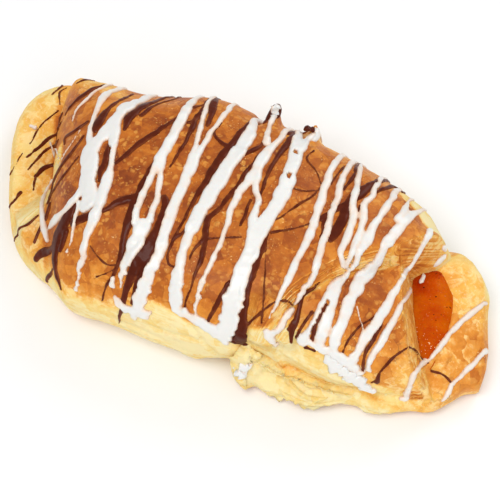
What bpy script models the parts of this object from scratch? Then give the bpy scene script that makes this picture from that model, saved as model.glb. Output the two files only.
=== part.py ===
"""Danish pastry: a sheet of laminated dough folded from both long sides over an apricot filling.

X runs along the pastry towards the end where the filling shows, Y away from its front long side
and Z up.  The origin is under the middle of the pastry, on the flat underside.  Lengths are in
millimetres here and become metres when a mesh is made.
"""
from math import cos, pi, radians, sin

import bmesh
import bpy
import numpy as np

MM = 0.001

# The sheet: a slanted square of dough whose two bare ends are tongues
SLANT = -0.4                 # how far X shifts for each millimetre of Y
SHEET_LEFT = -75.0           # ends of the sheet along its middle
SHEET_RIGHT = 72.0
SHEET_BACK = 35.0
SHEET_FRONT = -29.5
SHEET_THICK = 9.5
LEFT_CORNER = 18.0           # how far the rounding of the ends reaches
RIGHT_CORNER = 7.0
UNDERSIDE_TUCK = 1.35        # how quickly a side turns in to the flat underside

# The front flap, folded first
FLAP_LEFT = -72.0
FLAP_RIGHT = 68.0
FLAP_CROWN = 31.0
FLAP_LIP_HEIGHT = 14.5       # its thin left end on the sheet
FLAP_FRONT = -33.0
FLAP_BACK = 22.0

# The top flap, folded last from the back
COVER_LEFT = -60.0
COVER_RIGHT = 63.0
COVER_CROWN = 38.5
COVER_FRONT = -33.5
COVER_BACK = 36.8
COVER_WAIST = -12.0          # where along X the back side bulges most
SHOULDER = 20.0              # length of the rounded left end

# The cut edges of the flaps: a line seen from above that is true at one level, the way its cut
# face leans out below that level, and the lean at the line's two ends for each millimetre of height
RIDGE_LINE = [(12, -46), (15.5, -31), (18.8, -23.5), (24, -15.5), (30.5, -7.8), (37.8, -1), (44.3, 6),
              (49.8, 15), (56, 27), (66, 44)]
RIDGE_LEVEL = 28.0
RIDGE_OUTWARD = (0.7, -0.7)
RIDGE_LEAN = (0.6, 0.0)
FLAP_EDGE_LINE = [(38, 30), (43.5, 12), (45.6, 4.5), (48.2, -3), (51, -9), (54, -15.5), (56.2, -21),
                  (58.5, -26), (64, -38)]
FLAP_EDGE_LEVEL = 20.0
FLAP_EDGE_OUTWARD = (1.0, 0.0)
FLAP_EDGE_LEAN = (0.25, 0.6)
FLAP_START_LINE = [(-78, -41), (-66, -16.6), (-61, -6), (-45, 27)]
FLAP_START_LEVEL = 11.5
FLAP_START_OUTWARD = (-0.88, 0.47)
FLAP_START_LEAN = (1.2, 1.0)
CUT_BOTTOM = -6.0            # the cutting blocks reach past the pastry above and below
CUT_TOP = 50.0
CUT_STEPS = 10

# The apricot filling, which runs under the flaps and fills the mouth at the right end
FILLING_LEFT = -46.0
FILLING_FLOOR = 7.8
FILLING_MIDDLE = 11.0
FILLING_TOP = 15.2
FILLING_GAP = 0.3
FILLING_PLAN = [(-46, -3, 5), (-43, -7, 9), (-34, -10, 11), (30, -10, 11), (42, -11, 13), (48, -13.5, 14.4),
                (53, -16, 14.2), (56.5, -17, 10.5), (58.6, -15, 4.5), (59.6, -10, -1)]

# The torn scrap on the front side
TAB_HALF_SIZE = (4.6, 2.4, 7.6)
TAB_CENTRE = (12.8, -31.6, 8.2)
TAB_TILT = -28.0

# How finely the surfaces are cut
AROUND = 40
ALONG_SHEET = 40
ALONG_FLAP = 40
ALONG_COVER = 38
AROUND_FILLING = 20
ALONG_FILLING = 34

CRUST = (0.62, 0.30, 0.09)
APRICOT = (0.70, 0.17, 0.01)


def smooth_step(start, end, value):
    """0 before start, 1 after end, and an even rise between them."""
    part = min(1.0, max(0.0, (value - start) / (end - start)))
    return part * part * (3.0 - 2.0 * part)


def swell(x, y, centre, reach):
    """A round rise of 1 at the centre that dies away over the reach along X and Y."""
    return float(np.exp(-((x - centre[0]) / reach[0]) ** 2 - ((y - centre[1]) / reach[1]) ** 2))


def end_round(distance, reach, power=2.2):
    """The share of full size at a distance from an end whose rounding has the given reach."""
    part = 1.0 - min(1.0, distance / reach)
    return (1.0 - part ** power) ** (1.0 / power)


def make_object(name, mesh, collection):
    thing = bpy.data.objects.new(name, mesh)
    collection.objects.link(thing)
    return thing


def loft(name, rings, collection):
    """A closed skin over rings of equal length, given in millimetres, from left to right."""
    shell = bmesh.new()
    rows = [[shell.verts.new((x * MM, y * MM, z * MM)) for x, y, z in ring] for ring in rings]
    for left, right in zip(rows, rows[1:]):
        for step in range(len(left)):
            after = (step + 1) % len(left)
            shell.faces.new((left[step], right[step], right[after], left[after]))
    shell.faces.new(rows[0])
    shell.faces.new(list(reversed(rows[-1])))
    bmesh.ops.recalc_face_normals(shell, faces=shell.faces)
    bmesh.ops.triangulate(shell, faces=shell.faces)
    mesh = bpy.data.meshes.new(name)
    shell.to_mesh(mesh)
    shell.free()
    return make_object(name, mesh, collection)


def stations(left, right, count, crowding=0.55):
    """Places along the pastry, closer together at its ends."""
    even = np.linspace(0.0, 1.0, count)
    eased = 0.5 - 0.5 * np.cos(pi * even)
    return left + (right - left) * (crowding * eased + (1.0 - crowding) * even)


def dough_ring(place, front, back, top, belt, floor, rise, squareness):
    """One slanted section: a flat floor, bulging sides at the height of the belt and a domed top."""
    middle = 0.5 * (front + back)
    half = 0.5 * (back - front)
    ring = []
    for step in range(AROUND):
        angle = 2.0 * pi * (step + 0.5) / AROUND
        across = cos(angle)
        upward = sin(angle)
        y = middle + half * np.sign(across) * abs(across) ** squareness
        x = place + SLANT * y
        if upward > 0:
            z = belt + (top(x, y) - belt) * rise * upward ** squareness
        else:
            z = max(floor, belt - (belt - floor) * UNDERSIDE_TUCK * abs(upward) ** 0.7)
        ring.append((x, y, z))
    return ring


def sheet_top(x, y):
    """The bare upper face of the sheet, puffed round the filling's mouth and at its corners."""
    mouth = 4.0 * swell(x, y, (57, 0), (15, 19))
    far_corner = 4.5 * swell(x, y, (59, 19), (10, 8))
    left_rim = 2.0 * swell(x, y, (-74, 27), (8, 10)) + 1.0 * swell(x, y, (-76, 4), (5, 12))
    left_dip = -1.6 * swell(x, y, (-64, 8), (7, 14))
    return SHEET_THICK + mouth + far_corner + left_rim + left_dip


def sheet_front(place):
    """The front rim of the sheet, with the torn lip that sticks out right of the pinch."""
    x = place + SLANT * SHEET_FRONT
    lip = -6.2 * smooth_step(8, 13, x) * (1.0 - smooth_step(24, 44, x))
    pinch = 1.5 * swell(x, 0, (6, 0), (6, 1))
    taper = 19.0 * smooth_step(30, 80, place)
    return SHEET_FRONT + lip + pinch + taper


def sheet_back(place):
    return SHEET_BACK - 2.0 * smooth_step(-60, -40, place) - 9.5 * smooth_step(-5, 50, place)


def make_sheet(collection):
    rings = []
    for place in stations(SHEET_LEFT + 0.5, SHEET_RIGHT - 0.5, ALONG_SHEET):
        width = end_round(place - SHEET_LEFT, LEFT_CORNER) * end_round(SHEET_RIGHT - place, RIGHT_CORNER)
        rise = end_round(place - SHEET_LEFT, 4.0) * end_round(SHEET_RIGHT - place, 4.0)
        front = sheet_front(place)
        back = sheet_back(place)
        middle = 0.5 * (front + back)
        half = 0.5 * (back - front) * width
        rings.append(dough_ring(place, middle - half, middle + half, sheet_top, 3.6, 0.0, rise, 0.62))
    return loft("sheet", rings, collection)


def flap_top(x, y):
    """The front flap, thin where it starts on the left tongue and full over the filling."""
    along = x - SLANT * y
    rise = smooth_step(-66, -40, along)
    fall = 4.5 * smooth_step(14, 58, along)
    return FLAP_LIP_HEIGHT + (FLAP_CROWN - FLAP_LIP_HEIGHT) * rise - fall


def flap_front(place):
    x = place + SLANT * FLAP_FRONT
    pinch = 3.6 * smooth_step(-2, 8, x)
    taper = 8.5 * smooth_step(34, 72, x)
    left_taper = 3.0 * (1.0 - smooth_step(-60, -40, x))
    return FLAP_FRONT + pinch + taper + left_taper


def make_front_flap(collection):
    rings = []
    for place in stations(FLAP_LEFT + 0.5, FLAP_RIGHT - 0.5, ALONG_FLAP):
        width = end_round(place - FLAP_LEFT, LEFT_CORNER) * end_round(FLAP_RIGHT - place, 8.0)
        front = flap_front(place)
        middle = 0.5 * (front + FLAP_BACK)
        half = 0.5 * (FLAP_BACK - front) * width
        belt = 6.0 + 6.5 * smooth_step(-60, -35, place)
        rings.append(dough_ring(place, middle - half, middle + half, flap_top, belt, 2.0, 1.0, 0.72))
    return loft("front flap", rings, collection)


def cover_top(x, y):
    """The top flap: high in the middle, lower at both ends, with a few shallow dents."""
    along = x - SLANT * y
    left_fall = 5.5 * (1.0 - smooth_step(-52, -12, along))
    right_fall = 6.5 * smooth_step(30, 66, along)
    dents = 1.2 * swell(x, y, (-38, 4), (12, 16)) - 1.0 * swell(x, y, (-17, -8), (6, 22))
    dents += 0.9 * swell(x, y, (4, 2), (11, 20)) - 0.8 * swell(x, y, (19, 12), (6, 20))
    return COVER_CROWN - left_fall - right_fall + dents


def cover_back(place):
    """The back side, which bulges most near the middle and draws in more towards the right."""
    offset = place + SLANT * COVER_BACK - COVER_WAIST
    draw_in = 0.0018 if offset < 0 else 0.0038
    return COVER_BACK - draw_in * offset * offset


def make_top_flap(collection):
    rings = []
    for place in stations(COVER_LEFT + 0.4, COVER_RIGHT - 0.4, ALONG_COVER, 0.75):
        width = end_round(place - COVER_LEFT + 2.0, 9.0) * end_round(COVER_RIGHT - place, 12.0)
        rise = end_round(place - COVER_LEFT, SHOULDER, 2.0) * end_round(COVER_RIGHT - place, 7.0)
        back = cover_back(place)
        front = COVER_FRONT + 2.5 * smooth_step(-16, 2, place)
        middle = 0.5 * (front + back)
        half = 0.5 * (back - front) * width
        belt = 11.0 + 2.0 * smooth_step(-50, -20, place)
        rings.append(dough_ring(place, middle - half, middle + half, cover_top, belt, 3.0, rise, 0.8))
    return loft("top flap", rings, collection)


def leaning_cutter(name, line, level, outward, leans, beyond, collection):
    """A tall block on the far side of a line, whose face along the line leans out below its level."""
    lean = list(np.linspace(leans[0], leans[1], len(line))) + [leans[1]] * len(beyond)
    rings = []
    for height in np.linspace(CUT_BOTTOM, CUT_TOP, CUT_STEPS):
        ring = []
        for (x, y), tilt in zip(line + beyond, lean):
            run = tilt * (level - height)
            ring.append((x + outward[0] * run, y + outward[1] * run, height))
        rings.append(ring)
    return loft(name, rings, collection)


def make_filling(name, grow, collection):
    """The filling's own shape, or with grow the slightly larger hollow that the dough leaves for it."""
    plan = np.array(FILLING_PLAN, dtype=float)
    right_end = plan[-1, 0]
    middle = 0.5 * (FILLING_LEFT + right_end)
    stretch = 1.0 + 2.0 * grow / (right_end - FILLING_LEFT)
    rings = []
    for place in stations(FILLING_LEFT, right_end, ALONG_FILLING, 0.7):
        front = np.interp(place, plan[:, 0], plan[:, 1]) - grow
        back = np.interp(place, plan[:, 0], plan[:, 2]) + grow
        mouth = smooth_step(38, 50, place)
        tip = end_round(right_end + 0.6 - place, 5.0)
        ring = []
        for step in range(AROUND_FILLING):
            angle = 2.0 * pi * (step + 0.5) / AROUND_FILLING
            y = 0.5 * (front + back) + 0.5 * (back - front) * np.sign(cos(angle)) * abs(cos(angle)) ** 0.6
            reach = abs(sin(angle)) ** 0.6 * tip
            if sin(angle) > 0:
                surface = FILLING_TOP + mouth * (0.06 * y - 1.0)
                z = FILLING_MIDDLE + (surface - FILLING_MIDDLE) * reach + grow
            else:
                z = FILLING_MIDDLE - (FILLING_MIDDLE - FILLING_FLOOR) * reach - grow
            ring.append((middle + (place - middle) * stretch, y, z))
        rings.append(ring)
    return loft(name, rings, collection)


def make_torn_tab(collection):
    """The scrap of torn dough that hangs in front of the pinch."""
    bpy.ops.mesh.primitive_uv_sphere_add(segments=14, ring_count=10, radius=1.0)
    tab = bpy.context.active_object
    tab.name = "torn tab"
    tilt = radians(TAB_TILT)
    for vertex in tab.data.vertices:
        x, y, z = (part * half * MM for part, half in zip(vertex.co, TAB_HALF_SIZE))
        y, z = y * cos(tilt) - z * sin(tilt), y * sin(tilt) + z * cos(tilt)
        vertex.co = (x + TAB_CENTRE[0] * MM, y + TAB_CENTRE[1] * MM, z + TAB_CENTRE[2] * MM)
    for owner in list(tab.users_collection):
        owner.objects.unlink(tab)
    collection.objects.link(tab)
    return tab


def combine(target, other, operation):
    """An exact Boolean of two meshes, applied to the first."""
    step = target.modifiers.new(operation.lower(), "BOOLEAN")
    step.operation = operation
    step.solver = "EXACT"
    step.object = other
    graph = bpy.context.evaluated_depsgraph_get()
    mesh = bpy.data.meshes.new_from_object(target.evaluated_get(graph))
    target.modifiers.clear()
    target.data = mesh


def finish_mesh(thing, colour, roughness):
    """Joins points left almost on each other, shades the surface smooth and gives it its finish."""
    shape = bmesh.new()
    shape.from_mesh(thing.data)
    bmesh.ops.remove_doubles(shape, verts=shape.verts, dist=0.02 * MM)
    bmesh.ops.dissolve_degenerate(shape, edges=shape.edges, dist=0.02 * MM)
    bmesh.ops.triangulate(shape, faces=shape.faces)
    shape.to_mesh(thing.data)
    shape.free()
    thing.data.shade_smooth()
    finish = bpy.data.materials.new(thing.name)
    finish.use_nodes = True
    surface = finish.node_tree.nodes["Principled BSDF"]
    surface.inputs["Base Color"].default_value = (*colour, 1.0)
    surface.inputs["Roughness"].default_value = roughness
    surface.inputs["Metallic"].default_value = 0.0
    thing.data.materials.clear()
    thing.data.materials.append(finish)


def hide_cutter(thing):
    thing.hide_render = True
    thing.display_type = "WIRE"


def clear_scene():
    for thing in list(bpy.data.objects):
        bpy.data.objects.remove(thing, do_unlink=True)


def main():
    clear_scene()
    pastry = bpy.data.collections.new("danish_pastry")
    cutters = bpy.data.collections.new("cutters")
    bpy.context.scene.collection.children.link(pastry)
    bpy.context.scene.collection.children.link(cutters)

    dough = make_sheet(pastry)
    dough.name = "dough"
    front_flap = make_front_flap(cutters)
    top_flap = make_top_flap(cutters)
    ridge = leaning_cutter("ridge cut", RIDGE_LINE, RIDGE_LEVEL, RIDGE_OUTWARD, RIDGE_LEAN,
                           [(110, 20), (90, -70), (20, -80)], cutters)
    flap_edge = leaning_cutter("flap edge cut", FLAP_EDGE_LINE, FLAP_EDGE_LEVEL, FLAP_EDGE_OUTWARD,
                               FLAP_EDGE_LEAN, [(120, -50), (120, 60), (60, 70)], cutters)
    flap_start = leaning_cutter("flap start cut", FLAP_START_LINE, FLAP_START_LEVEL, FLAP_START_OUTWARD,
                                FLAP_START_LEAN, [(-60, 80), (-140, 60), (-140, -50)], cutters)
    hollow = make_filling("filling hollow", FILLING_GAP, cutters)
    tab = make_torn_tab(cutters)

    combine(front_flap, flap_edge, "DIFFERENCE")
    combine(front_flap, flap_start, "DIFFERENCE")
    combine(top_flap, ridge, "DIFFERENCE")
    combine(dough, front_flap, "UNION")
    combine(dough, top_flap, "UNION")
    combine(dough, tab, "UNION")
    combine(dough, hollow, "DIFFERENCE")
    jam = make_filling("jam", 0.0, pastry)

    for thing in cutters.objects:
        hide_cutter(thing)
    finish_mesh(dough, CRUST, 0.55)
    finish_mesh(jam, APRICOT, 0.25)


main()
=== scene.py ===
"""The finish of a danish pastry: baked crust, flaky cut edges, torn sides, apricot filling,
and strands of white icing and dark chocolate.  Lengths are in millimetres, and MM makes metres of them."""
from itertools import product
from math import cos, radians, sin

import bmesh
import bpy
import numpy as np
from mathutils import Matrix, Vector
from mathutils.bvhtree import BVHTree


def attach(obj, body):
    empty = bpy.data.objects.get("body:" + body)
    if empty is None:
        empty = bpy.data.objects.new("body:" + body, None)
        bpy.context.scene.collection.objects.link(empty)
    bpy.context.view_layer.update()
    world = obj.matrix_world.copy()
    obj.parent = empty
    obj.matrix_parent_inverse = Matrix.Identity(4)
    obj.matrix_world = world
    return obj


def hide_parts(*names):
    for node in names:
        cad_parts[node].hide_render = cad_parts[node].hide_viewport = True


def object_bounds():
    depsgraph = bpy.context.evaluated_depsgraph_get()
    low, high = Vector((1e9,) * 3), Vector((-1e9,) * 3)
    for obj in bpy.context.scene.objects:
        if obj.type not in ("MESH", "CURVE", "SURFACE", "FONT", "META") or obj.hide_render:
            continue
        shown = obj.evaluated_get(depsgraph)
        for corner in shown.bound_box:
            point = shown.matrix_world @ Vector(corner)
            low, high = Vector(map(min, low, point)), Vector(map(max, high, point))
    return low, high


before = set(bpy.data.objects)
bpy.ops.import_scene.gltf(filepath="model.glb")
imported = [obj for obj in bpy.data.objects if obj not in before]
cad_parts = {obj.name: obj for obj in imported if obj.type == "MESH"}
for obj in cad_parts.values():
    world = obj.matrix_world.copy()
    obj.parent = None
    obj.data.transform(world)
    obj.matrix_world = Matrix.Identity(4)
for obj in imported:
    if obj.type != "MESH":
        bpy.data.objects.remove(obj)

MM = 0.001
CAD_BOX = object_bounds()
BOX_LOW, BOX_HIGH = (np.array(corner) / MM for corner in CAD_BOX)
BOX_MARGIN = 0.05            # how far inside the CAD's box the thin pieces stay
DOWN = Vector((0, 0, -1))
INWARD = Vector((0, 1, 0))   # from the front side into the pastry
CLEAR = 90                   # a distance that is clear of the pastry, for rays to start from
FRONT_SIDE = -33.0           # about where along y the front side is

# ---------------------------------------------------------------- the pastry's own lines, seen from above
SLANT = -0.4
RIDGE_LINE = [(12, -46), (15.5, -31), (18.8, -23.5), (24, -15.5), (30.5, -7.8), (37.8, -1), (44.3, 6),
              (49.8, 15), (56, 27), (66, 44)]
FLAP_EDGE_LINE = [(38, 30), (43.5, 12), (45.6, 4.5), (48.2, -3), (51, -9), (54, -15.5), (56.2, -21),
                  (58.5, -26), (64, -38)]
FLAP_START_LINE = [(-78, -41), (-66, -16.6), (-61, -6), (-45, 27)]
# Where the brown crust of the front side gives way to pale dough: place along the pastry, height
PALE_FROM = [(-58, 8), (-53, 12), (-43, 17), (-30, 18.5), (-25, 19.5), (-20, 22), (-17, 24), (-15, 25.2),
             (-11.5, 25.4), (-8, 25), (-4, 23.5), (0, 24), (6, 23.5), (9, 24), (12, 25.4), (15, 27),
             (19, 27.6), (23, 26), (28, 24.6), (34, 23.5), (40, 20), (45, 15), (50, 13), (54, 10), (60, 6)]
# The torn front side: a fold near the top, and the crease where the lower, crumbly sheet starts
TORN_FOLD = [(9, 23), (13, 22.5), (16.5, 21.8), (20, 20.4), (24, 18.4), (28.5, 16.9), (34, 16),
             (39.6, 14.8), (45, 12.4), (49, 10.4), (60, 8)]
TORN_CREASE = [(9, 17.5), (13, 16.4), (17, 15), (21, 12.8), (25, 10.8), (29, 9.6), (33, 9), (37.5, 8.8),
               (42, 8.4), (48, 6.5), (56, 4.5)]
# The back edge of the cover's right end, which stays pale
PALE_RIM = [(32, 25), (37, 21), (40.3, 19.8), (43.1, 19.2), (45.2, 18), (48, 16.2), (50, 17.4),
            (51.6, 18.8), (54, 20.5)]
# The right-hand lip of the filling's mouth, from the back to the front
MOUTH_LIP = [(44, 15), (48, 13.2), (51.5, 12.6), (54.5, 10.5), (57.6, 6.5), (59.2, 1.5), (59.4, -3),
             (58.4, -8), (57, -13), (56.5, -17)]


# ---------------------------------------------------------------- small tools
def rise(start, end, value):
    """0 before start, 1 after end, with an even rise between them."""
    part = np.clip((value - start) / (end - start), 0.0, 1.0)
    return part * part * (3.0 - 2.0 * part)


def swell(x, y, centre, reach):
    """A round hump of 1 at the centre that dies away over the reach along x and y."""
    return np.exp(-((x - centre[0]) / reach[0]) ** 2 - ((y - centre[1]) / reach[1]) ** 2)


def patched(x, y, patches):
    """Soft round patches added up, each with how much, its middle and its reach."""
    return sum(amount * swell(x, y, middle, reach) for amount, middle, reach in patches)


def mixed(share, first, second):
    """The first where the share is 0, the second where it is 1."""
    return first * (1 - share) + second * share


def bell(off, width):
    """1 where off is 0, dying away on both sides over the width."""
    return np.exp(-(off / width) ** 2)


def lumps(points, size, seed, stretch=(1.0, 1.0, 1.0)):
    """Soft noise from -1 to 1 with lumps of about the given size, longer where stretch is more than 1."""
    cell = points / (np.asarray(stretch) * size)
    base = np.floor(cell).astype(np.int64)
    part = cell - base
    ease = part * part * (3.0 - 2.0 * part)
    total = np.zeros(len(points))
    for corner in product((0, 1), repeat=3):
        at = base + corner
        code = (at[:, 0] * 73856093) ^ (at[:, 1] * 19349663) ^ (at[:, 2] * 83492791) ^ (seed * 2654435761)
        code = (code ^ (code >> 13)) * 1274126177
        value = ((code ^ (code >> 16)) & 0xFFFF) / 32767.5 - 1.0
        weight = np.prod(np.where(np.array(corner) == 1, ease, 1.0 - ease), axis=1)
        total += value * weight
    return total


def rough(points, size, seed, layers=3, stretch=(1.0, 1.0, 1.0)):
    """Several sizes of lumps on top of each other, each half the size and strength of the last."""
    total = np.zeros(len(points))
    for layer in range(layers):
        total += lumps(points, size / 2 ** layer, seed + layer, stretch) / 2 ** layer
    return total / (2.0 - 0.5 ** (layers - 1))


def beside(points, line):
    """How far points lie to the right of a line that is walked from its first corner, in plan."""
    best = np.full(len(points), 1e9)
    signed = np.zeros(len(points))
    for (ax, ay), (bx, by) in zip(line, line[1:]):
        run = np.array([bx - ax, by - ay], float)
        length = np.hypot(*run)
        run /= length
        offset = points[:, :2] - (ax, ay)
        along = np.clip(offset @ run, 0.0, length)
        gap = offset - along[:, None] * run
        far = np.hypot(gap[:, 0], gap[:, 1])
        right = run[1] * offset[:, 0] - run[0] * offset[:, 1]
        closer = far < best
        best = np.where(closer, far, best)
        signed = np.where(closer, np.sign(right) * far, signed)
    return signed


def link(mesh, name):
    """A new object in the scene for the mesh."""
    piece = bpy.data.objects.new(name, mesh)
    bpy.context.scene.collection.objects.link(piece)
    return piece


def riding(mesh, name, look):
    """A finished mesh as a piece that rides on the pastry."""
    mesh.shade_smooth()
    mesh.materials.clear()
    mesh.materials.append(look)
    piece = link(mesh, name)
    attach(piece, "root")
    return piece


def mesh_within(name, places, faces):
    """A mesh from places in millimetres, none of them outside the pastry's own box."""
    held = np.clip(np.array(places), BOX_LOW + BOX_MARGIN, BOX_HIGH - BOX_MARGIN) * MM
    mesh = bpy.data.meshes.new(name)
    mesh.from_pydata(held.tolist(), [], faces)
    return mesh


def points_of(mesh):
    """The mesh's points in millimetres."""
    flat = np.empty(len(mesh.vertices) * 3)
    mesh.vertices.foreach_get("co", flat)
    return flat.reshape(-1, 3) / MM


def normals_of(mesh):
    """The outward direction at each point."""
    flat = np.empty(len(mesh.vertices) * 3, np.float32)
    mesh.vertex_normals.foreach_get("vector", flat)
    return flat.reshape(-1, 3).astype(float)


def set_points(mesh, points):
    """Moves the mesh's points to places in millimetres."""
    mesh.vertices.foreach_set("co", (points * MM).ravel())
    mesh.update()


def keep_value(mesh, name, values):
    """Stores one number for each point, for the material to read."""
    layer = mesh.attributes.new(name, "FLOAT", "POINT")
    layer.data.foreach_set("value", np.asarray(values, np.float32))


def evened(mesh, voxel, smoothing):
    """A mesh remade in even small faces, with its facets rubbed down."""
    piece = link(mesh, "evened")
    even = piece.modifiers.new("even", "REMESH")
    even.mode = "VOXEL"
    even.voxel_size = voxel * MM
    soften = piece.modifiers.new("soften", "SMOOTH")
    soften.factor = 0.5
    soften.iterations = smoothing
    graph = bpy.context.evaluated_depsgraph_get()
    mesh = bpy.data.meshes.new_from_object(piece.evaluated_get(graph))
    bpy.data.objects.remove(piece)
    return mesh


def tree_of(*meshes):
    """A search tree of all the meshes' faces, in millimetres."""
    places = []
    corners = []
    for mesh in meshes:
        first = len(places)
        places += [tuple(point) for point in points_of(mesh)]
        corners += [[first + number for number in face.vertices] for face in mesh.polygons]
    return BVHTree.FromPolygons(places, corners)


def evened_path(path, passes):
    """The path with its kinks rubbed down, both ends kept."""
    for _ in range(passes):
        path[1:-1] = 0.5 * path[1:-1] + 0.25 * (path[2:] + path[:-2])
    return path


def smooth_path(points, step):
    """A rounded curve through the points, with a point about every step."""
    points = np.array(points, float)
    padded = np.vstack([2 * points[0] - points[1], points, 2 * points[-1] - points[-2]])
    path = []
    for before, start, end, after in zip(padded, padded[1:], padded[2:], padded[3:]):
        count = max(2, int(np.linalg.norm(end[:2] - start[:2]) / step))
        for share in np.arange(count) / count:
            path.append(0.5 * (2 * start + (end - before) * share
                               + (2 * before - 5 * start + 4 * end - after) * share ** 2
                               + (3 * start - before - 3 * end + after) * share ** 3))
    path.append(points[-1])
    return np.array(path)


# ---------------------------------------------------------------- finishes
class Finish:
    """A material, or a shader group, that is put together node by node."""

    def __init__(self, name, group=False):
        if group:
            self.tree = bpy.data.node_groups.new(name, "ShaderNodeTree")
        else:
            self.material = bpy.data.materials.new(name)
            self.material.use_nodes = True
            self.tree = self.material.node_tree
            self.surface = self.tree.nodes["Principled BSDF"]

    def node(self, kind, inputs=None, **settings):
        made = self.tree.nodes.new(kind)
        for key, value in settings.items():
            setattr(made, key, value)
        for key, value in (inputs or {}).items():
            self.feed(made.inputs[key], value)
        return made

    def feed(self, socket, value):
        if isinstance(value, bpy.types.NodeSocket):
            self.tree.links.new(value, socket)
        elif value is not None:
            socket.default_value = value

    def maths(self, operation, first, second):
        return self.node("ShaderNodeMath", {0: first, 1: second}, operation=operation).outputs[0]

    def times(self, first, second):
        return self.maths("MULTIPLY", first, second)

    def plus(self, first, second):
        return self.maths("ADD", first, second)

    def between(self, value, low, high, to_low=0.0, to_high=1.0):
        made = self.node("ShaderNodeMapRange", {"Value": value, "From Min": low, "From Max": high,
                                                "To Min": to_low, "To Max": to_high},
                         interpolation_type="SMOOTHSTEP")
        return made.outputs["Result"]

    def blend(self, amount, first, second, way="MIX"):
        made = self.node("ShaderNodeMix", data_type="RGBA", blend_type=way)
        self.feed(made.inputs["Factor"], amount)
        for socket, value in ((made.inputs[6], first), (made.inputs[7], second)):
            self.feed(socket, (*value, 1.0) if isinstance(value, tuple) else value)
        return made.outputs[2]

    def ramp(self, value, stops):
        made = self.node("ShaderNodeValToRGB", {"Fac": value})
        band = made.color_ramp
        band.elements[0].position = stops[0][0]
        band.elements[0].color = (*stops[0][1], 1.0)
        band.elements[1].position = stops[-1][0]
        band.elements[1].color = (*stops[-1][1], 1.0)
        for place, colour in stops[1:-1]:
            band.elements.new(place).color = (*colour, 1.0)
        return made.outputs["Color"]

    def stored(self, name):
        return self.node("ShaderNodeAttribute", attribute_name=name).outputs["Fac"]

    def place(self):
        return self.node("ShaderNodeTexCoord").outputs["Object"]

    def noise(self, scale, detail=3.0, roughness=0.55, at=None, distortion=0.0):
        made = self.node("ShaderNodeTexNoise", {"Scale": scale, "Detail": detail, "Roughness": roughness,
                                                "Distortion": distortion})
        self.feed(made.inputs["Vector"], at if at is not None else self.place())
        return made.outputs["Fac"]

    def patches(self, scale, detail, roughness, low, high, **more):
        """A mask that is 0 where the noise is below low and 1 where it is above high."""
        return self.between(self.noise(scale, detail, roughness, **more), low, high)

    def cells(self, at, scale, inputs=None, **settings):
        """The outputs of a pattern of cells."""
        return self.node("ShaderNodeTexVoronoi", {"Vector": at, "Scale": scale, **(inputs or {})},
                         **settings).outputs

    def bump(self, height, distance, strength):
        made = self.node("ShaderNodeBump", {"Height": height, "Distance": distance, "Strength": strength})
        return made.outputs["Normal"]

    def use(self, group, **inputs):
        made = self.node("ShaderNodeGroup", node_tree=group)
        for key, value in inputs.items():
            self.feed(made.inputs[key.replace("_", " ")], value)
        return made

    def sockets(self, takes, gives):
        """Names what a group takes, with its usual values, and what it puts out."""
        for name, value in takes.items():
            kind = "NodeSocketColor" if isinstance(value, tuple) else "NodeSocketFloat"
            socket = self.tree.interface.new_socket(name=name, in_out="INPUT", socket_type=kind)
            socket.default_value = (*value, 1.0) if isinstance(value, tuple) else value
        for name, kind in gives.items():
            self.tree.interface.new_socket(name=name, in_out="OUTPUT", socket_type=kind)
        self.given = self.tree.nodes.new("NodeGroupInput").outputs
        self.out = self.tree.nodes.new("NodeGroupOutput").inputs

    def look(self, **values):
        for key, value in values.items():
            socket = self.surface.inputs[key.replace("_", " ")]
            if isinstance(value, tuple) and len(value) == 3 and socket.type == "RGBA":
                value = (*value, 1.0)
            self.feed(socket, value)


BAKE_STOPS = [(0.0, (0.92, 0.78, 0.42)), (0.18, (0.90, 0.65, 0.22)), (0.34, (0.89, 0.48, 0.095)),
              (0.52, (0.76, 0.29, 0.038)), (0.70, (0.54, 0.155, 0.018)), (0.86, (0.36, 0.083, 0.012)),
              (1.0, (0.22, 0.045, 0.010))]
AMBER = (0.72, 0.31, 0.058)
CRACK_BROWN = (0.20, 0.045, 0.010)
CREAM = (0.96, 0.74, 0.34)
# painted highlight: small pale flecks that stand for glints of light on the glaze
HIGHLIGHT_FLECK = (0.98, 0.86, 0.58)
# painted highlight: tiny bright specks of light on the glaze
GLAZE_PAINTED_HIGHLIGHT = (0.96, 0.66, 0.26)
APRICOT_STOPS = [(0.22, (0.38, 0.026, 0.0001)), (0.40, (0.50, 0.062, 0.0001)), (0.62, (0.62, 0.125, 0.0003))]
APRICOT_SPECK = (0.05, 0.008, 0.001)
# painted highlight: the colour of small sparkles of light on the wet filling
APRICOT_PAINTED_HIGHLIGHT = (0.95, 0.72, 0.40)
# Toppings, from a thin smear to a thick strand
ICING_STOPS = [(0.0, (0.76, 0.53, 0.38)), (0.25, (0.82, 0.68, 0.57)), (0.58, (0.82, 0.75, 0.68)),
               (0.85, (0.80, 0.79, 0.76))]
CHOCOLATE_STOPS = [(0.0, (0.19, 0.045, 0.012)), (0.4, (0.110, 0.016, 0.004)), (1.0, (0.078, 0.010, 0.002))]


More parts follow.
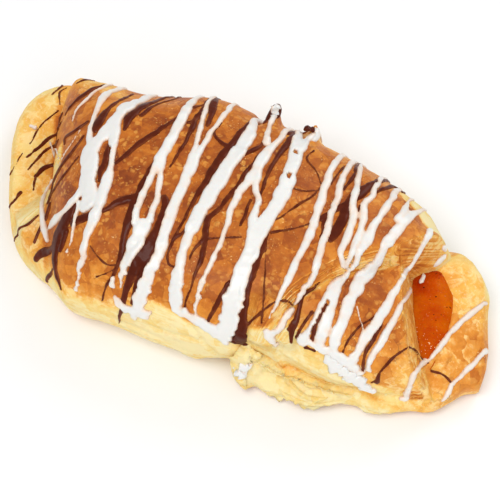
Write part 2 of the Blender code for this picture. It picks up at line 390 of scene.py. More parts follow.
def make_bake_group():
    """Colour of baked dough, from pale crumb at 0 to dark caramel at 1, with flakes, blisters and cracks."""
    bake = Finish("baked colour", group=True)
    bake.sockets({"Bake": 0.7, "Unevenness": 0.10, "Spots": 0.5}, {"Color": "NodeSocketColor"})
    spots = bake.given["Spots"]
    place = bake.place()
    bend = bake.node("ShaderNodeTexNoise", {"Vector": place, "Scale": 300.0, "Detail": 2.0}).outputs["Color"]
    sway = bake.node("ShaderNodeVectorMath", {0: bend, 1: (0.003, 0.003, 0.003)}, operation="MULTIPLY")
    bent = bake.node("ShaderNodeVectorMath", {0: place, 1: sway.outputs[0]}, operation="ADD").outputs[0]
    flake = bake.node("ShaderNodeSeparateColor", {"Color": bake.cells(bent, 290.0)["Color"]}).outputs["Red"]
    uneven = bake.plus(bake.between(bake.noise(90.0, 3.0, 0.55, at=place), 0.3, 0.7, -0.7, 0.7),
                       bake.between(bake.noise(480.0, 4.0, 0.62, at=place), 0.3, 0.7, -0.6, 0.6))
    uneven = bake.plus(uneven, bake.between(flake, 0.0, 1.0, -0.85, 0.85))
    tone = bake.plus(bake.given["Bake"], bake.times(uneven, bake.given["Unevenness"]))
    colour = bake.ramp(tone, BAKE_STOPS)
    # blisters, and smaller pearls of the glaze
    spread = bake.cells(bent, 470.0, {"Randomness": 0.9})["Distance"]
    blister = bake.times(bake.between(spread, 0.26, 0.46, 1.0, 0.0),
                         bake.patches(140.0, 2.0, 0.5, 0.46, 0.60, at=place))
    colour = bake.blend(bake.times(blister, spots), colour, AMBER)
    pearl = bake.times(bake.between(bake.cells(bent, 1000.0)["Distance"], 0.20, 0.38, 1.0, 0.0),
                       bake.patches(200.0, 2.0, 0.5, 0.48, 0.62, at=bent))
    colour = bake.blend(bake.times(pearl, bake.times(spots, 0.8)), colour, AMBER)
    # cream mottling, and pale flecks painted in as glaze highlights, where the crust is light but not bare
    light = bake.times(bake.between(tone, 0.40, 0.54, 1.0, 0.0), bake.between(tone, 0.12, 0.22))
    mottle = bake.times(bake.patches(250.0, 4.0, 0.66, 0.47, 0.60, at=bent, distortion=0.8), light)
    colour = bake.blend(bake.times(mottle, 0.62), colour, CREAM)
    highlight_flecks = bake.times(bake.patches(1300.0, 3.0, 0.6, 0.58, 0.64, at=place), light)
    colour = bake.blend(bake.times(highlight_flecks, 0.28), colour, HIGHLIGHT_FLECK)
    # hair cracks between the flakes, and painted highlights of the glaze beside them
    cracked = bake.patches(170.0, 2.0, 0.5, 0.52, 0.64, at=bent)
    edges = bake.cells(bent, 290.0, feature="DISTANCE_TO_EDGE")["Distance"]
    crack = bake.times(bake.between(edges, 0.0, 0.06, 1.0, 0.0), cracked)
    colour = bake.blend(bake.times(crack, bake.times(spots, 0.55)), colour, CRACK_BROWN)
    painted_highlight = bake.times(bake.patches(1900.0, 1.0, 0.5, 0.66, 0.72, at=place), cracked)
    colour = bake.blend(bake.times(painted_highlight, spots), colour, GLAZE_PAINTED_HIGHLIGHT)
    bake.feed(bake.out["Color"], colour)
    return bake.tree


def make_grain_group():
    """Fine unevenness of a surface: a height for bump, in two sizes."""
    grain = Finish("fine grain", group=True)
    grain.sockets({"Scale": 600.0, "Coarse Share": 0.5}, {"Height": "NodeSocketFloat"})
    coarse = grain.noise(grain.given["Scale"], 3.0, 0.6)
    fine = grain.noise(grain.times(grain.given["Scale"], 4.0), 2.0, 0.5)
    height = grain.plus(grain.times(coarse, grain.given["Coarse Share"]), grain.times(fine, 0.4))
    grain.feed(grain.out["Height"], height)
    return grain.tree


def make_layers_group():
    """Streaks of thin dough layers, which follow the height stored with the mesh."""
    layers = Finish("dough layers", group=True)
    layers.sockets({"Level": 0.0, "Scale": 1.0}, {"Streak": "NodeSocketFloat"})
    place = layers.node("ShaderNodeSeparateXYZ", {0: layers.place()}).outputs
    spot = layers.node("ShaderNodeCombineXYZ", {
        "X": layers.times(place["X"], 45.0), "Y": layers.times(place["Y"], 45.0),
        "Z": layers.times(layers.given["Level"], layers.given["Scale"])})
    layers.feed(layers.out["Streak"], layers.noise(1.0, 3.0, 0.65, at=spot.outputs["Vector"]))
    return layers.tree


BAKED_COLOUR = make_bake_group()
FINE_GRAIN = make_grain_group()
DOUGH_LAYERS = make_layers_group()


def crust_finish():
    """Baked dough: egg-washed crust where it is brown, dry and crumbly where it is pale or cut."""
    finish = Finish("baked crust")
    bake, cut, crumb, level = (finish.stored(name) for name in ("bake", "cut", "crumb", "level"))
    streak = finish.use(DOUGH_LAYERS, Level=level, Scale=2.2).outputs["Streak"]
    streaked = finish.times(finish.between(streak, 0.33, 0.67, -1.0, 1.0), finish.times(cut, 0.13))
    crusty = finish.between(bake, 0.3, 0.6)
    unevenness = finish.plus(finish.plus(0.06, finish.times(crusty, 0.042)), finish.times(crumb, 0.05))
    colour = finish.use(BAKED_COLOUR, Bake=finish.plus(bake, streaked), Unevenness=unevenness,
                        Spots=finish.plus(0.1, finish.times(crusty, 0.65)))
    grain = finish.use(FINE_GRAIN, Scale=700.0, Coarse_Share=0.6).outputs["Height"]
    open_grain = finish.noise(900.0, 4.0, 0.7)
    wrinkles = finish.noise(330.0, 3.0, 0.55, distortion=1.5)
    height = finish.plus(finish.times(grain, 0.5), finish.times(open_grain, finish.times(crumb, 1.6)))
    height = finish.plus(height, finish.times(streak, finish.times(cut, 2.0)))
    height = finish.plus(height, finish.times(wrinkles, crusty))
    finish.look(Base_Color=colour.outputs["Color"],
                Roughness=finish.maths("SUBTRACT", 0.8, finish.times(crusty, 0.32)),
                Specular_IOR_Level=0.14, Coat_Weight=finish.times(crusty, 0.06), Coat_Roughness=0.2,
                Subsurface_Weight=0.10, Subsurface_Radius=(0.8, 0.35, 0.1), Subsurface_Scale=0.0015,
                Normal=finish.bump(height, 0.00028, 0.8))
    return finish.material


def filling_finish():
    """Wet, deep orange, a little see-through apricot filling with dark specks, painted sparkles and painted
    shade to the back left.
    """
    finish = Finish("set apricot filling")
    place = finish.node("ShaderNodeSeparateXYZ", {0: finish.place()}).outputs
    # painted shade: the filling is made darker towards its back and left, under the edge of the flap
    painted_shade = finish.between(finish.maths("SUBTRACT", place["Y"], place["X"]), -0.052, -0.036)
    cloud = finish.maths("SUBTRACT", finish.noise(120.0, 4.0, 0.6), finish.times(painted_shade, 0.2))
    colour = finish.ramp(cloud, APRICOT_STOPS)
    specks = finish.patches(1000.0, 1.5, 0.5, 0.69, 0.73)
    colour = finish.blend(finish.times(specks, 0.9), colour, APRICOT_SPECK)
    # painted highlights: small sparkles of light, most of them towards the front
    painted_sparkle = finish.times(finish.patches(1700.0, 1.0, 0.5, 0.69, 0.73),
                           finish.between(place["Y"], -0.010, -0.003, 1.0, 0.12))
    colour = finish.blend(painted_sparkle, colour, APRICOT_PAINTED_HIGHLIGHT)
    grain = finish.use(FINE_GRAIN, Scale=420.0, Coarse_Share=0.9).outputs["Height"]
    finish.look(Base_Color=colour, Roughness=0.3, Specular_IOR_Level=0.03,
                Coat_Weight=0.015, Coat_Roughness=0.05,
                Subsurface_Weight=0.2, Subsurface_Radius=(1.0, 0.22, 0.02), Subsurface_Scale=0.002,
                Normal=finish.bump(grain, 0.0005, 0.8))
    return finish.material


def topping_finish(name, stops, thin_to_thick, mottling, grain_size, coarse, relief, **shine):
    """Set icing or chocolate, whose colour follows how thick it lies, with a little unevenness."""
    finish = Finish(name)
    scale, roughness, strength = mottling
    uneven = finish.between(finish.noise(scale, 3.0, roughness), 0.3, 0.7, -strength, strength)
    body = finish.plus(finish.stored("thickness"), uneven)
    colour = finish.ramp(finish.between(body, *thin_to_thick), stops)
    grain = finish.use(FINE_GRAIN, Scale=grain_size, Coarse_Share=coarse).outputs["Height"]
    finish.look(Base_Color=colour, Roughness=0.38, Normal=finish.bump(grain, relief, 0.6), **shine)
    return finish.material


def icing_finish():
    """Set sugar icing: bright white where it is thick, warm and see-through at thin edges."""
    return topping_finish("white icing", ICING_STOPS, (0.1, 0.95), (260.0, 0.55, 0.12), 300.0, 0.8, 0.00012,
                          Coat_Weight=0.25, Coat_Roughness=0.2, Subsurface_Weight=0.2,
                          Subsurface_Radius=(1.0, 0.7, 0.5), Subsurface_Scale=0.0008)


def chocolate_finish():
    """Set dark chocolate: nearly black-brown, redder where it is thin, with a soft gloss."""
    return topping_finish("chocolate icing", CHOCOLATE_STOPS, (0.05, 0.8), (400.0, 0.6, 0.15), 420.0, 0.9,
                          0.00018, Specular_IOR_Level=0.07, Coat_Weight=0.13, Coat_Roughness=0.10)


# ---------------------------------------------------------------- dough
DOUGH_VOXEL = 0.6
TORN_FROM = 8.0              # where along x the torn part of the front side starts
TORN_TO = 58.0


def dough_core():
    """The two CAD solids as one closed mesh, with the filling's mouth left a little low."""
    shell = bmesh.new()
    shell.from_mesh(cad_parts["dough"].data)
    plug = bmesh.new()
    plug.from_mesh(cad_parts["jam"].data)
    bmesh.ops.remove_doubles(plug, verts=plug.verts, dist=0.01 * MM)
    plug.normal_update()
    for point in plug.verts:
        point.co += point.normal * 0.6 * MM
    places = np.array([point.co for point in plug.verts]) / MM
    x, _, z = places.T
    open_share = rise(42, 44, x) * rise(9, 11, z) * rise(-0.6, 0.8, beside(places, MOUTH_LIP))
    for point, share in zip(plug.verts, open_share):
        point.co.z -= 3.2 * MM * share
    plug_mesh = bpy.data.meshes.new("plug")
    plug.to_mesh(plug_mesh)
    shell.from_mesh(plug_mesh)
    bmesh.ops.remove_doubles(shell, verts=shell.verts, dist=0.005 * MM)
    mesh = bpy.data.meshes.new("dough core")
    shell.to_mesh(mesh)
    shell.free()
    plug.free()
    return mesh


def zones(points, normals):
    """Where each part of the pastry is, as shares from 0 to 1."""
    x, y, z = points.T
    along = x - SLANT * y
    past_ridge = beside(points, RIDGE_LINE)
    past_edge = -beside(points, FLAP_EDGE_LINE)
    before_start = beside(points, FLAP_START_LINE)
    outward = 0.7 * normals[:, 0] - 0.7 * normals[:, 1]
    zone = {}
    backward = 0.47 * normals[:, 1] - 0.88 * normals[:, 0]
    zone["ridge cut"] = (rise(-2.2, -0.8, past_ridge) * (1 - rise(4.0, 5.5, past_ridge))
                         * rise(0.35, 0.6, outward) * rise(14, 18, z) * rise(-27, -22, y)
                         * (1 - rise(16, 24, y)))
    zone["edge cut"] = (rise(-6.0, -3.5, past_edge) * (1 - rise(5.5, 7.0, past_edge))
                        * rise(0.45, 0.7, normals[:, 0]) * rise(12.5, 14.0, z)
                        * (1 - rise(8, 12, y)) * rise(35, 42, x))
    zone["start cut"] = (rise(-4, -2, -before_start) * (1 - rise(3.5, 5.5, -before_start))
                         * rise(8.8, 10, z) * rise(0.2, 0.45, backward) * (1 - rise(-57, -55, along)))
    zone["cover"] = (1 - rise(-0.6, 0.4, past_ridge)) * rise(-61.8, -60.0, along)
    zone["right flap"] = (rise(-0.4, 0.6, past_ridge) * (1 - rise(-1.0, 1.0, past_edge))
                          * rise(13.0, 16.0, z))
    zone["start band"] = rise(-0.5, 0.5, before_start) * (1 - rise(4.2, 5.4, before_start)) * rise(4, 7, z)
    zone["left end"] = 1 - rise(-61.8, -60.0, along)
    return zone, dict(along=along, past_ridge=past_ridge, past_edge=past_edge,
                      before_start=before_start, up=normals[:, 2])


SCAN_STEP = 0.25             # the rays that look for a cut face stand this far apart
STEEP = 0.22                 # a fall from ray to ray that still belongs to the face


class CutFace:
    """The stepped face below a line in plan: where its top edge and its foot run, station by station."""

    def __init__(self, tree, line, outward, step, inside, outside):
        path = smooth_path([(x, y, 0) for x, y in line], step)
        self.out = np.array((outward[0], outward[1], 0)) / np.hypot(*outward)
        offsets = np.arange(-inside, outside, SCAN_STEP)
        tops = []
        feet = []
        for x, y, _ in path:
            heights = []
            for offset in offsets:
                start = Vector((x + self.out[0] * offset, y + self.out[1] * offset, CLEAR))
                found = tree.ray_cast(start, DOWN)[0]
                heights.append(found.z if found is not None else 0.0)
            fall = -np.diff(heights)
            steepest = int(np.argmax(fall))
            top = steepest
            while top > 0 and fall[top - 1] > STEEP:
                top -= 1
            foot = steepest + 1
            while foot < len(fall) - 1 and fall[foot] > STEEP:
                foot += 1
            tops.append((x + self.out[0] * offsets[top], y + self.out[1] * offsets[top], heights[top]))
            feet.append((x + self.out[0] * offsets[foot], y + self.out[1] * offsets[foot], heights[foot]))
        self.top = evened_path(np.array(tops), 5)
        self.foot = evened_path(np.array(feet), 5)
        self.depth = np.linalg.norm(self.top - self.foot, axis=1)

    def distance(self, points):
        """How far each point is from the face's top edge."""
        nearest = np.full(len(points), 1e9)
        for spot in self.top:
            nearest = np.minimum(nearest, np.linalg.norm(points - spot, axis=1))
        return nearest


# Patches of the crust that baked darker or paler: how much, middle and reach, seen from above
COVER_PATCHES = [(0.11, (-33, -5), (14, 12)), (-0.07, (-42, 15), (10, 7)), (-0.05, (6, -3), (9, 9)),
                 (-0.30, (11.5, -25), (3, 4)), (-0.12, (-46, -26), (4, 5)), (-0.11, (-48, 20), (5, 7))]
FLAP_PATCHES = [(0.14, (34, -10), (6, 5))]
RIGHT_PATCHES = [(0.18, (51, 9), (4, 6))]
LEFT_PATCHES = [(0.22, (-65.5, 9), (4.5, 8))]
LEFT_FLAP_PATCHES = [(0.18, (-60, 3), (2.5, 5))]
SINGED_TIPS = [(1.0, (-5.2, 36), (1.5, 3)), (1.0, (6.8, 35.5), (1.5, 2.5))]
SINGED_TONE = 0.97
START_CUT_TONE = 0.15
UNDERSIDE_TONE = 0.62


def torn_share(x):
    """How much of the front side at this x is torn open."""
    return rise(TORN_FROM - 2, TORN_FROM + 4, x) * (1 - rise(TORN_TO - 12, TORN_TO, x))


def along_line(line, x):
    """The height of a line (place along the pastry, height) at each x."""
    places, heights = zip(*line)
    return np.interp(x, places, heights)


def crust_tone(points, zone, at):
    """How brown each part of the crust is, before its edges, cuts and torn sides are counted."""
    x, y, z = points.T
    cover = 0.78 + patched(x, y, COVER_PATCHES) - 0.16 * rise(21, 33, -y) - 0.07 * rise(20, 36, x)
    cover -= 0.16 * rise(17, 29, y) * rise(-6, 10, x) + 0.08 * rise(22, 30, y)
    cover -= 0.26 * rise(20, 27, y) * (1 - rise(-52, -45, x)) + 0.05 * (1 - rise(-59, -50, at["along"]))
    cover -= 0.17 * rise(-6, -1, at["past_ridge"]) * rise(14, 24, x)
    flap = 0.76 + patched(x, y, FLAP_PATCHES) - 0.22 * rise(-8, -1, at["past_edge"]) - 0.30 * rise(14, 29, -y)
    right = 0.53 + patched(x, y, RIGHT_PATCHES) - 0.21 * rise(-2, 11, y) - 0.10 * rise(12, 20, y)
    right += 0.06 * rise(63, 69, x) - 0.14 * rise(15, 22, -y)
    left = 0.28 + patched(x, y, LEFT_PATCHES) + 0.07 * lumps(points, 6.0, 17) - 0.12 * rise(22, 30, y)
    left_flap = 0.17 + patched(x, y, LEFT_FLAP_PATCHES) + 0.28 * rise(5, 14, z) - 0.08 * rise(18, 28, -y)
    left_flap = mixed(zone["start band"], left_flap, 0.13 + 0.05 * lumps(points, 5.0, 18))
    bare = rise(-0.5, 0.5, at["before_start"])
    right_end = (1 - zone["cover"]) * (1 - zone["left end"]) * mixed(zone["right flap"], right, flap)
    return cover * zone["cover"] + right_end + zone["left end"] * mixed(bare, left, left_flap)


def pale_share(points, zone, up, wander):
    """Where the dough is pale because it never browned: the front side, the foot of the back and the rim."""
    x, y, z = points.T
    front = along_line(PALE_FROM, x) + wander
    soft = 1.2 + 2.2 * (1 - rise(-18, -14, x) * (1 - rise(44, 50, x)))
    pale = (1 - rise(-soft, soft, z - front)) * rise(16, 22, -y) * (1 - rise(50, 58, x)) * rise(-57, -46, x)
    back_line = 15.0 + 9.0 * rise(20, 50, x) * (1 - rise(45, 49, x)) + wander
    pale_back = ((1 - rise(-2.5, 2.5, z - back_line)) * rise(8, 15, y) * (1 - rise(0.25, 0.7, up))
                 * (1 - zone["left end"]))
    beside_rim = beside(points, PALE_RIM) + 0.4 * wander
    rim_strip = (1 - rise(-0.9, 0.5, beside_rim)) * rise(33, 38, x) * rise(10, 13, y) * rise(14, 18, z)
    return np.maximum(np.maximum(pale, pale_back), rim_strip)


def bake_map(points, zone, at):
    """How brown each point is, from 0 to 1, and how far it is pale, unbrowned dough."""
    x, y, z = points.T
    pale = pale_share(points, zone, at["up"], 1.3 * rough(points, 6.0, 31, 4))
    torn = torn_share(x) * rise(20, 26, -y)
    band = torn_share(x) * rise(-0.5, 1.0, z - along_line(TORN_CREASE, x)) * rise(20, 26, -y)
    band *= 1 - 0.5 * rise(-1.0, 1.0, z - along_line(TORN_FOLD, x))
    bare_tone = 0.04 + 0.09 * (1 - rise(-42, -28, x)) + 0.05 * rough(points, 6.0, 71, 3) + 0.10 * band
    bake = mixed(pale, crust_tone(points, zone, at), bare_tone)
    # painted shade: a darker golden line just above the crease, where the hollow band meets the raised lip
    crease = z - along_line(TORN_CREASE, x) + 0.5 * rough(points, 4.0, 83, 3)
    bake += 0.22 * pale * torn * bell(crease - 0.5, 0.8)
    bake = bake * (1 - 0.35 * (1 - rise(1.0, 6.5, z)) * (1 - pale))
    cuts = np.maximum(zone["ridge cut"], zone["edge cut"]) * (1 - 0.8 * pale)
    cut_tone = (0.34 + 0.04 * zone["ridge cut"] * rise(38, 45, x) + 0.14 * zone["edge cut"]
                + 0.06 * lumps(points, 5.0, 15))
    bake = mixed(zone["start cut"], mixed(cuts, bake, cut_tone), START_CUT_TONE)
    singed = np.clip(1.6 * patched(x, y, SINGED_TIPS), 0, 1) * rise(27, 30, z)
    bake = mixed(singed, bake, SINGED_TONE)
    return mixed(1 - rise(-0.95, -0.6, at["up"]), bake, UNDERSIDE_TONE), pale


# Soft pushes that give the loaf its hand-made outline: middle, reach and push, each along x, y and z
NUDGES = [
    ((-62, 31, 14), (13, 9, 14), (0, 2.1, 0.9)),
    ((-69, 31, 13), (6, 6, 10), (0, 1.9, 2.2)),
    ((-77, 18, 6), (6, 12, 8), (-0.9, 0.7, 0)),
    ((-44, 29, 29), (11, 7, 10), (0, -1.9, -1.2)),
    ((-20, 33, 29), (11, 7, 8), (0, 1.8, 1.5)),
    ((-8.5, 33, 29), (1.5, 5, 5), (0, -1.8, -1.6)),
    ((-5.2, 34, 29), (1.7, 4, 4), (0, 3.0, 5.0)),
    ((6.7, 33, 27), (1.8, 4, 4), (0, 2.6, 4.2)),
    ((46, 17, 26), (5, 5, 9), (-1.5, -1.5, 0)),
    ((48, 8, 16.5), (3, 3, 4.5), (0, 1.6, -3.0)),
    ((46.3, 6.6, 17.8), (2.4, 2.6, 3.2), (-1.5, 1.7, 0.4)),
    ((52, 22, 10), (4, 5, 8), (2.4, 1.2, 0)),
    ((66, 14, 6), (5, 4.5, 8), (0.9, 1.2, 0)),
    ((72, -13, 5), (5, 6, 8), (0.9, -0.4, 0)),
    ((71.5, -17, 3), (3, 4, 6), (-1.1, 1.7, 0)),
    ((64, -21.5, 3), (5, 5, 6), (0, -3.2, 0)),
    ((56, -26, 3), (6, 5, 6), (0, -0.7, 0)),
    ((24, -35, 2), (9, 6, 6), (0, 1.9, 0)),
    ((16, -36, 2), (2.0, 6, 6), (0, 1.4, 0)),
    ((11, -37, 3), (2.2, 5, 5), (0, 1.2, 0)),
    ((40, -31, 2), (5, 6, 6), (0, 1.1, 0)),
    ((50, -29, 2), (5, 6, 6), (0, -0.3, 0)),
    ((-50, -27, 3), (10, 9, 8), (1.3, 2.1, 0)),
    ((-44.5, -29, 3), (5, 5, 8), (0.5, 1.2, 0)),
    ((-15, -34, 3), (7, 6, 6), (0, -0.8, 0)),
    ((-2, -32, 3), (6, 6, 6), (0, -1.3, 0)),
    ((6, -33, 4), (3, 6, 6), (0, 1.2, 0)),
]


def cut_faces(tree):
    """The three stepped faces where the sheet was cut, by the names of their zones."""
    return {"ridge cut": CutFace(tree, RIDGE_LINE[1:], (0.7, -0.7), 0.5, 4.0, 7.0),
            "edge cut": CutFace(tree, FLAP_EDGE_LINE[1:], (1.0, 0.0), 0.5, 4.0, 7.0),
            "start cut": CutFace(tree, FLAP_START_LINE[1:-1], (-0.88, 0.47), 0.5, 4.0, 7.0)}


def torn_relief(points, x, y, z, torn):
    """Outward moves on the torn front side: a hollow band over a crumbly sheet with a raised top edge."""
    wander = 0.5 * rough(points, 4.0, 83, 3)
    above = z - along_line(TORN_CREASE, x) + wander
    tall = along_line(TORN_FOLD, x) - along_line(TORN_CREASE, x)
    up = np.clip(above / tall, 0, 1)
    hollow = -1.5 * (1 - up) ** 0.8 * rise(-0.5, 0.3, above)
    brow = 0.35 * bell(above - tall - 0.6, 0.9)
    lip = 0.75 * (1 - rise(-0.5, 0.1, above)) * (0.35 + 0.65 * rise(-3.5, -0.5, above))
    crumbly = 0.7 * rough(points, 2.4, 53, 4, (1.5, 1.0, 0.8)) * (1 - rise(-0.8, 0.2, above))
    return torn * (hollow + brow + lip + crumbly + 0.10 * rough(points, 2.0, 57, 3))


# Shallow folds across the pale front side: points (place along the pastry, height), depth and width
WALL_FOLDS = [
    ([(-16, 15.8), (-10, 16.4), (-5, 17.2), (0, 18.2)], 0.55, 0.9),
    ([(-27, 12.8), (-21, 12.6), (-15, 12), (-9, 10.5), (-3, 9)], 0.45, 0.9),
    ([(-4, 23.5), (-1, 20.5), (1.5, 16.5), (4, 12.5), (6, 9)], 0.7, 1.0),
    ([(-42, 8), (-34, 7.5), (-26, 6.5)], 0.35, 0.9),
    ([(28, 20.8), (34, 19.6), (40, 17.4)], 0.35, 0.8),
]


def wall_folds(points, x, y, z, pale):
    """Soft grooves where the pale dough of the front side is folded."""
    total = np.zeros(len(points))
    for line, depth, width in WALL_FOLDS:
        places, heights = zip(*line)
        off = z - np.interp(x, places, heights) + 0.4 * rough(points, 4.0, 89, 2)
        ends = rise(places[0] - 2, places[0] + 2, x) * (1 - rise(places[-1] - 2, places[-1] + 2, x))
        total += ends * depth * (0.5 * bell(off + 1.6 * width, 1.4 * width) - bell(off, width))
    return total * pale * rise(20, 26, -y)


def sheet_levels(points, zone, at, wedge):
    """Which layer of the dough each point is on, as a distance across the layers."""
    x, y, z = points.T
    level = z + 0.35 * rough(points, 9.0, 41, 2)
    for cut, face in cut_faces(tree_of(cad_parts["dough"].data)).items():
        spots = zone[cut] > 0.01
        level[spots] = face.distance(points[spots]) + 0.2 * rough(points[spots], 9.0, 41, 2)
    tail = 6.0 - 0.45 * z - 0.72 * y + 0.29 * x + 0.3 * rough(points, 7.0, 45, 2)
    level = mixed(zone["ridge cut"] * rise(34, 46, x), level, tail)
    level = mixed(zone["start band"] * zone["left end"], level,
                  at["before_start"] + 0.25 * rough(points, 6.0, 44, 2))
    return mixed(wedge, level, at["past_ridge"] + 0.3 * rough(points, 6.0, 43, 2))


def nudged(points, free):
    """The points after the soft pushes, each of which moves them by its share and by what is free to move."""
    for middle, reach, push in NUDGES:
        share = np.exp(-np.sum(((points - middle) / reach) ** 2, axis=1))
        points = points + share[:, None] * np.array(push) * free
    return points


def make_dough(look):
    """The whole folded sheet: the CAD's form with layers, blisters, tears and ragged edges."""
    mesh = evened(dough_core(), DOUGH_VOXEL, 5)
    mesh.name = "dough"
    points = points_of(mesh)
    normals = normals_of(mesh)
    zone, at = zones(points, normals)
    bake, pale = bake_map(points, zone, at)
    x, y, z = points.T
    resting = rise(0.4, 2.5, z)
    cuts = np.maximum(np.maximum(zone["ridge cut"], zone["edge cut"]), zone["start cut"])
    torn = pale * torn_share(x) * rise(20, 26, -y)
    band = zone["start band"] * zone["left end"]
    wedge = rise(19, 23, z) * rise(9, 13, x) * (1 - rise(23, 27, x)) * rise(18, 22, -y)
    level = sheet_levels(points, zone, at, wedge)
    waves = 0.45 * rough(points, 15.0, 3, 2)
    pimples = 0.10 * rough(points, 3.2, 11, 3) + 0.05 * rough(points, 1.4, 19, 2)
    sheets = 0.30 * np.abs(((level / 1.5) % 1.0) * 2 - 1) * rough(points, 6.0, 47, 2, (2, 2, 1))
    ragged_foot = 0.5 * rough(points, 3.2, 61, 3) * (1 - rise(3, 6, z)) * pale
    move = waves * (1 - cuts) + pimples + sheets * (pale * (1 - 0.7 * torn) + cuts * 0.5 + band * 0.8)
    sideways = torn_relief(points, x, y, z, torn) + wall_folds(points, x, y, z, pale) + ragged_foot
    outward = normals * np.array([1.0, 1.0, 0.25])
    points = points + normals * (move * resting)[:, None] + outward * sideways[:, None]
    points[:, 2] = np.where(z < 0.5, z, np.maximum(points[:, 2], 0.3))
    points = nudged(points, np.column_stack([np.ones_like(z), np.ones_like(z), resting]))
    points[:, 2] -= 1.2 * rise(33.0, 38.0, points[:, 2])
    points[:, :2] = np.clip(points[:, :2], BOX_LOW[:2] + 0.1, BOX_HIGH[:2] - 0.2)
    set_points(mesh, points)
    keep_value(mesh, "bake", bake)
    keep_value(mesh, "cut", np.clip(cuts + 0.35 * pale * (1 - 0.5 * torn) + 0.8 * wedge + 0.9 * band, 0, 1))
    keep_value(mesh, "crumb", np.clip(pale * 0.5 + torn * 0.6, 0, 1))
    keep_value(mesh, "level", level)
    piece = riding(mesh, "pastry_dough", look)
    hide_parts("dough")
    return piece


# ---------------------------------------------------------------- filling
FILLING_VOXEL = 0.45


def make_filling():
    """The strip of filling, swollen a little so that it meets the dough."""
    shell = bmesh.new()
    shell.from_mesh(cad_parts["jam"].data)
    bmesh.ops.remove_doubles(shell, verts=shell.verts, dist=0.01 * MM)
    mesh = bpy.data.meshes.new("filling core")
    shell.to_mesh(mesh)
    shell.free()
    mesh = evened(mesh, FILLING_VOXEL, 8)
    points = points_of(mesh)
    normals = normals_of(mesh)
    move = (0.85 - 0.55 * rise(0.3, 0.8, normals[:, 2]) + 0.25 * rough(points, 6.0, 5, 2)
            + 0.12 * rough(points, 1.6, 9, 2))
    points = points + normals * move[:, None]
    set_points(mesh, points)
    piece = riding(mesh, "apricot_filling", filling_finish())
    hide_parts("jam")
    return piece


# ---------------------------------------------------------------- flaky layers
# Torn skins on the front side: line (place along the pastry, height), reach down (negative: up), lift, tone
TORN_SKINS = [
    ([(15, 14.8), (17, 14.0), (21, 11.8), (25, 9.9), (29, 8.8), (33, 8.2), (37.5, 8), (43, 7.4)],
     -1.1, 0.75, 0.03),
    ([(17, 12.5), (22, 9.8), (26, 8.2), (31, 7.2), (36, 6.8)], 1.5, 0.45, 0.10),
    ([(23, 7), (28, 6), (34, 5.4), (41, 5)], 1.6, 0.45, 0.05),
    ([(19.5, 4.2), (22, 3.6), (24.5, 3.2)], 2.2, 0.40, 0.06),
    ([(28, 3.8), (31, 3.2), (35, 3)], 2.4, 0.45, 0.04),
    ([(26, 11.2), (31, 10), (36, 9.4), (40, 9.2)], -0.7, 0.3, 0.16),
    ([(44, 4), (48, 3.6), (51, 3.2)], 1.2, 0.3, 0.05),
    ([(-6, 6), (0, 5.5), (5, 6)], 0.9, 0.30, 0.10),
    ([(-30, 9), (-20, 8.4), (-8, 8)], 0.6, 0.25, 0.08),
]
# The torn tab that hangs in front: x, height, half width and lift at points down each leaf
TAB_LEAVES = [
    ([(11.8, 19, 1.0, 0.0), (11.4, 16, 2.4, 0.3), (11.0, 13, 2.9, 0.7), (10.6, 10.5, 2.3, 0.8),
      (10.4, 9, 0.8, 0.6)], 0.6, 0.03, 611),
    ([(11.3, 10.5, 1.0, 0.1), (11.6, 8.5, 1.7, 0.5), (12.2, 6.5, 1.4, 0.5), (13.0, 4.6, 0.9, 0.4),
      (13.6, 3.2, 0.3, 0.2)], 0.6, 0.12, 641),
    ([(13.0, 17.5, 0.8, 0.0), (14.2, 16, 1.2, 0.3), (15.6, 15.4, 1.0, 0.4), (16.6, 15.2, 0.4, 0.2)],
      0.5, 0.05, 671),
]


class Sheaf:
    """Thin torn sheets of dough, gathered into one mesh."""

    def __init__(self):
        self.places = []
        self.faces = []
        self.values = {"bake": [], "cut": [], "crumb": [], "level": []}

    def add(self, rings, **values):
        """A closed skin through the rings of points, which all have the same count."""
        first = len(self.places)
        around = len(rings[0])
        for ring in rings:
            self.places += [tuple(point) for point in ring]
        for here in range(len(rings) - 1):
            for side in range(around):
                after = (side + 1) % around
                near = first + here * around
                far = near + around
                self.faces.append((near + side, near + after, far + after, far + side))
        self.faces.append(tuple(range(first + around - 1, first - 1, -1)))
        last = first + (len(rings) - 1) * around
        self.faces.append(tuple(range(last, last + around)))
        for name, stored in self.values.items():
            given = values.get(name, 0.0)
            stored += list(np.broadcast_to(np.reshape(given, (-1, 1)) if np.ndim(given) else given,
                                           (len(rings), around)).reshape(-1))

    def leaf(self, base, across, lift, widths, thick, curl, **values):
        """A torn sheet that starts at the base line and reaches across it by the widths."""
        rings = []
        for spot, side, up, width in zip(base, across, lift, widths):
            mid = spot + side * width * 0.6 + up * curl * width * 0.35
            tip = spot + side * width + up * curl * width
            rings.append([spot + up * thick / 2, mid + up * thick / 2, tip + up * thick / 5,
                          tip - up * thick / 5, mid - up * thick / 2, spot - up * thick / 2])
        self.add(rings, **values)

    def piece(self, name, look):
        """The sheets as one piece, with every skin facing outward."""
        mesh = mesh_within(name, self.places, self.faces)
        shell = bmesh.new()
        shell.from_mesh(mesh)
        bmesh.ops.recalc_face_normals(shell, faces=shell.faces)
        shell.to_mesh(mesh)
        shell.free()
        for key, stored in self.values.items():
            keep_value(mesh, key, np.array(stored))
        made = riding(mesh, name, look)
        return made


def runs_of(flags):
    """The stretches of true flags, as (start, end) pairs."""
    edges = np.flatnonzero(np.diff(np.concatenate([[0], flags.astype(int), [0]])))
    return list(zip(edges[::2], edges[1::2]))


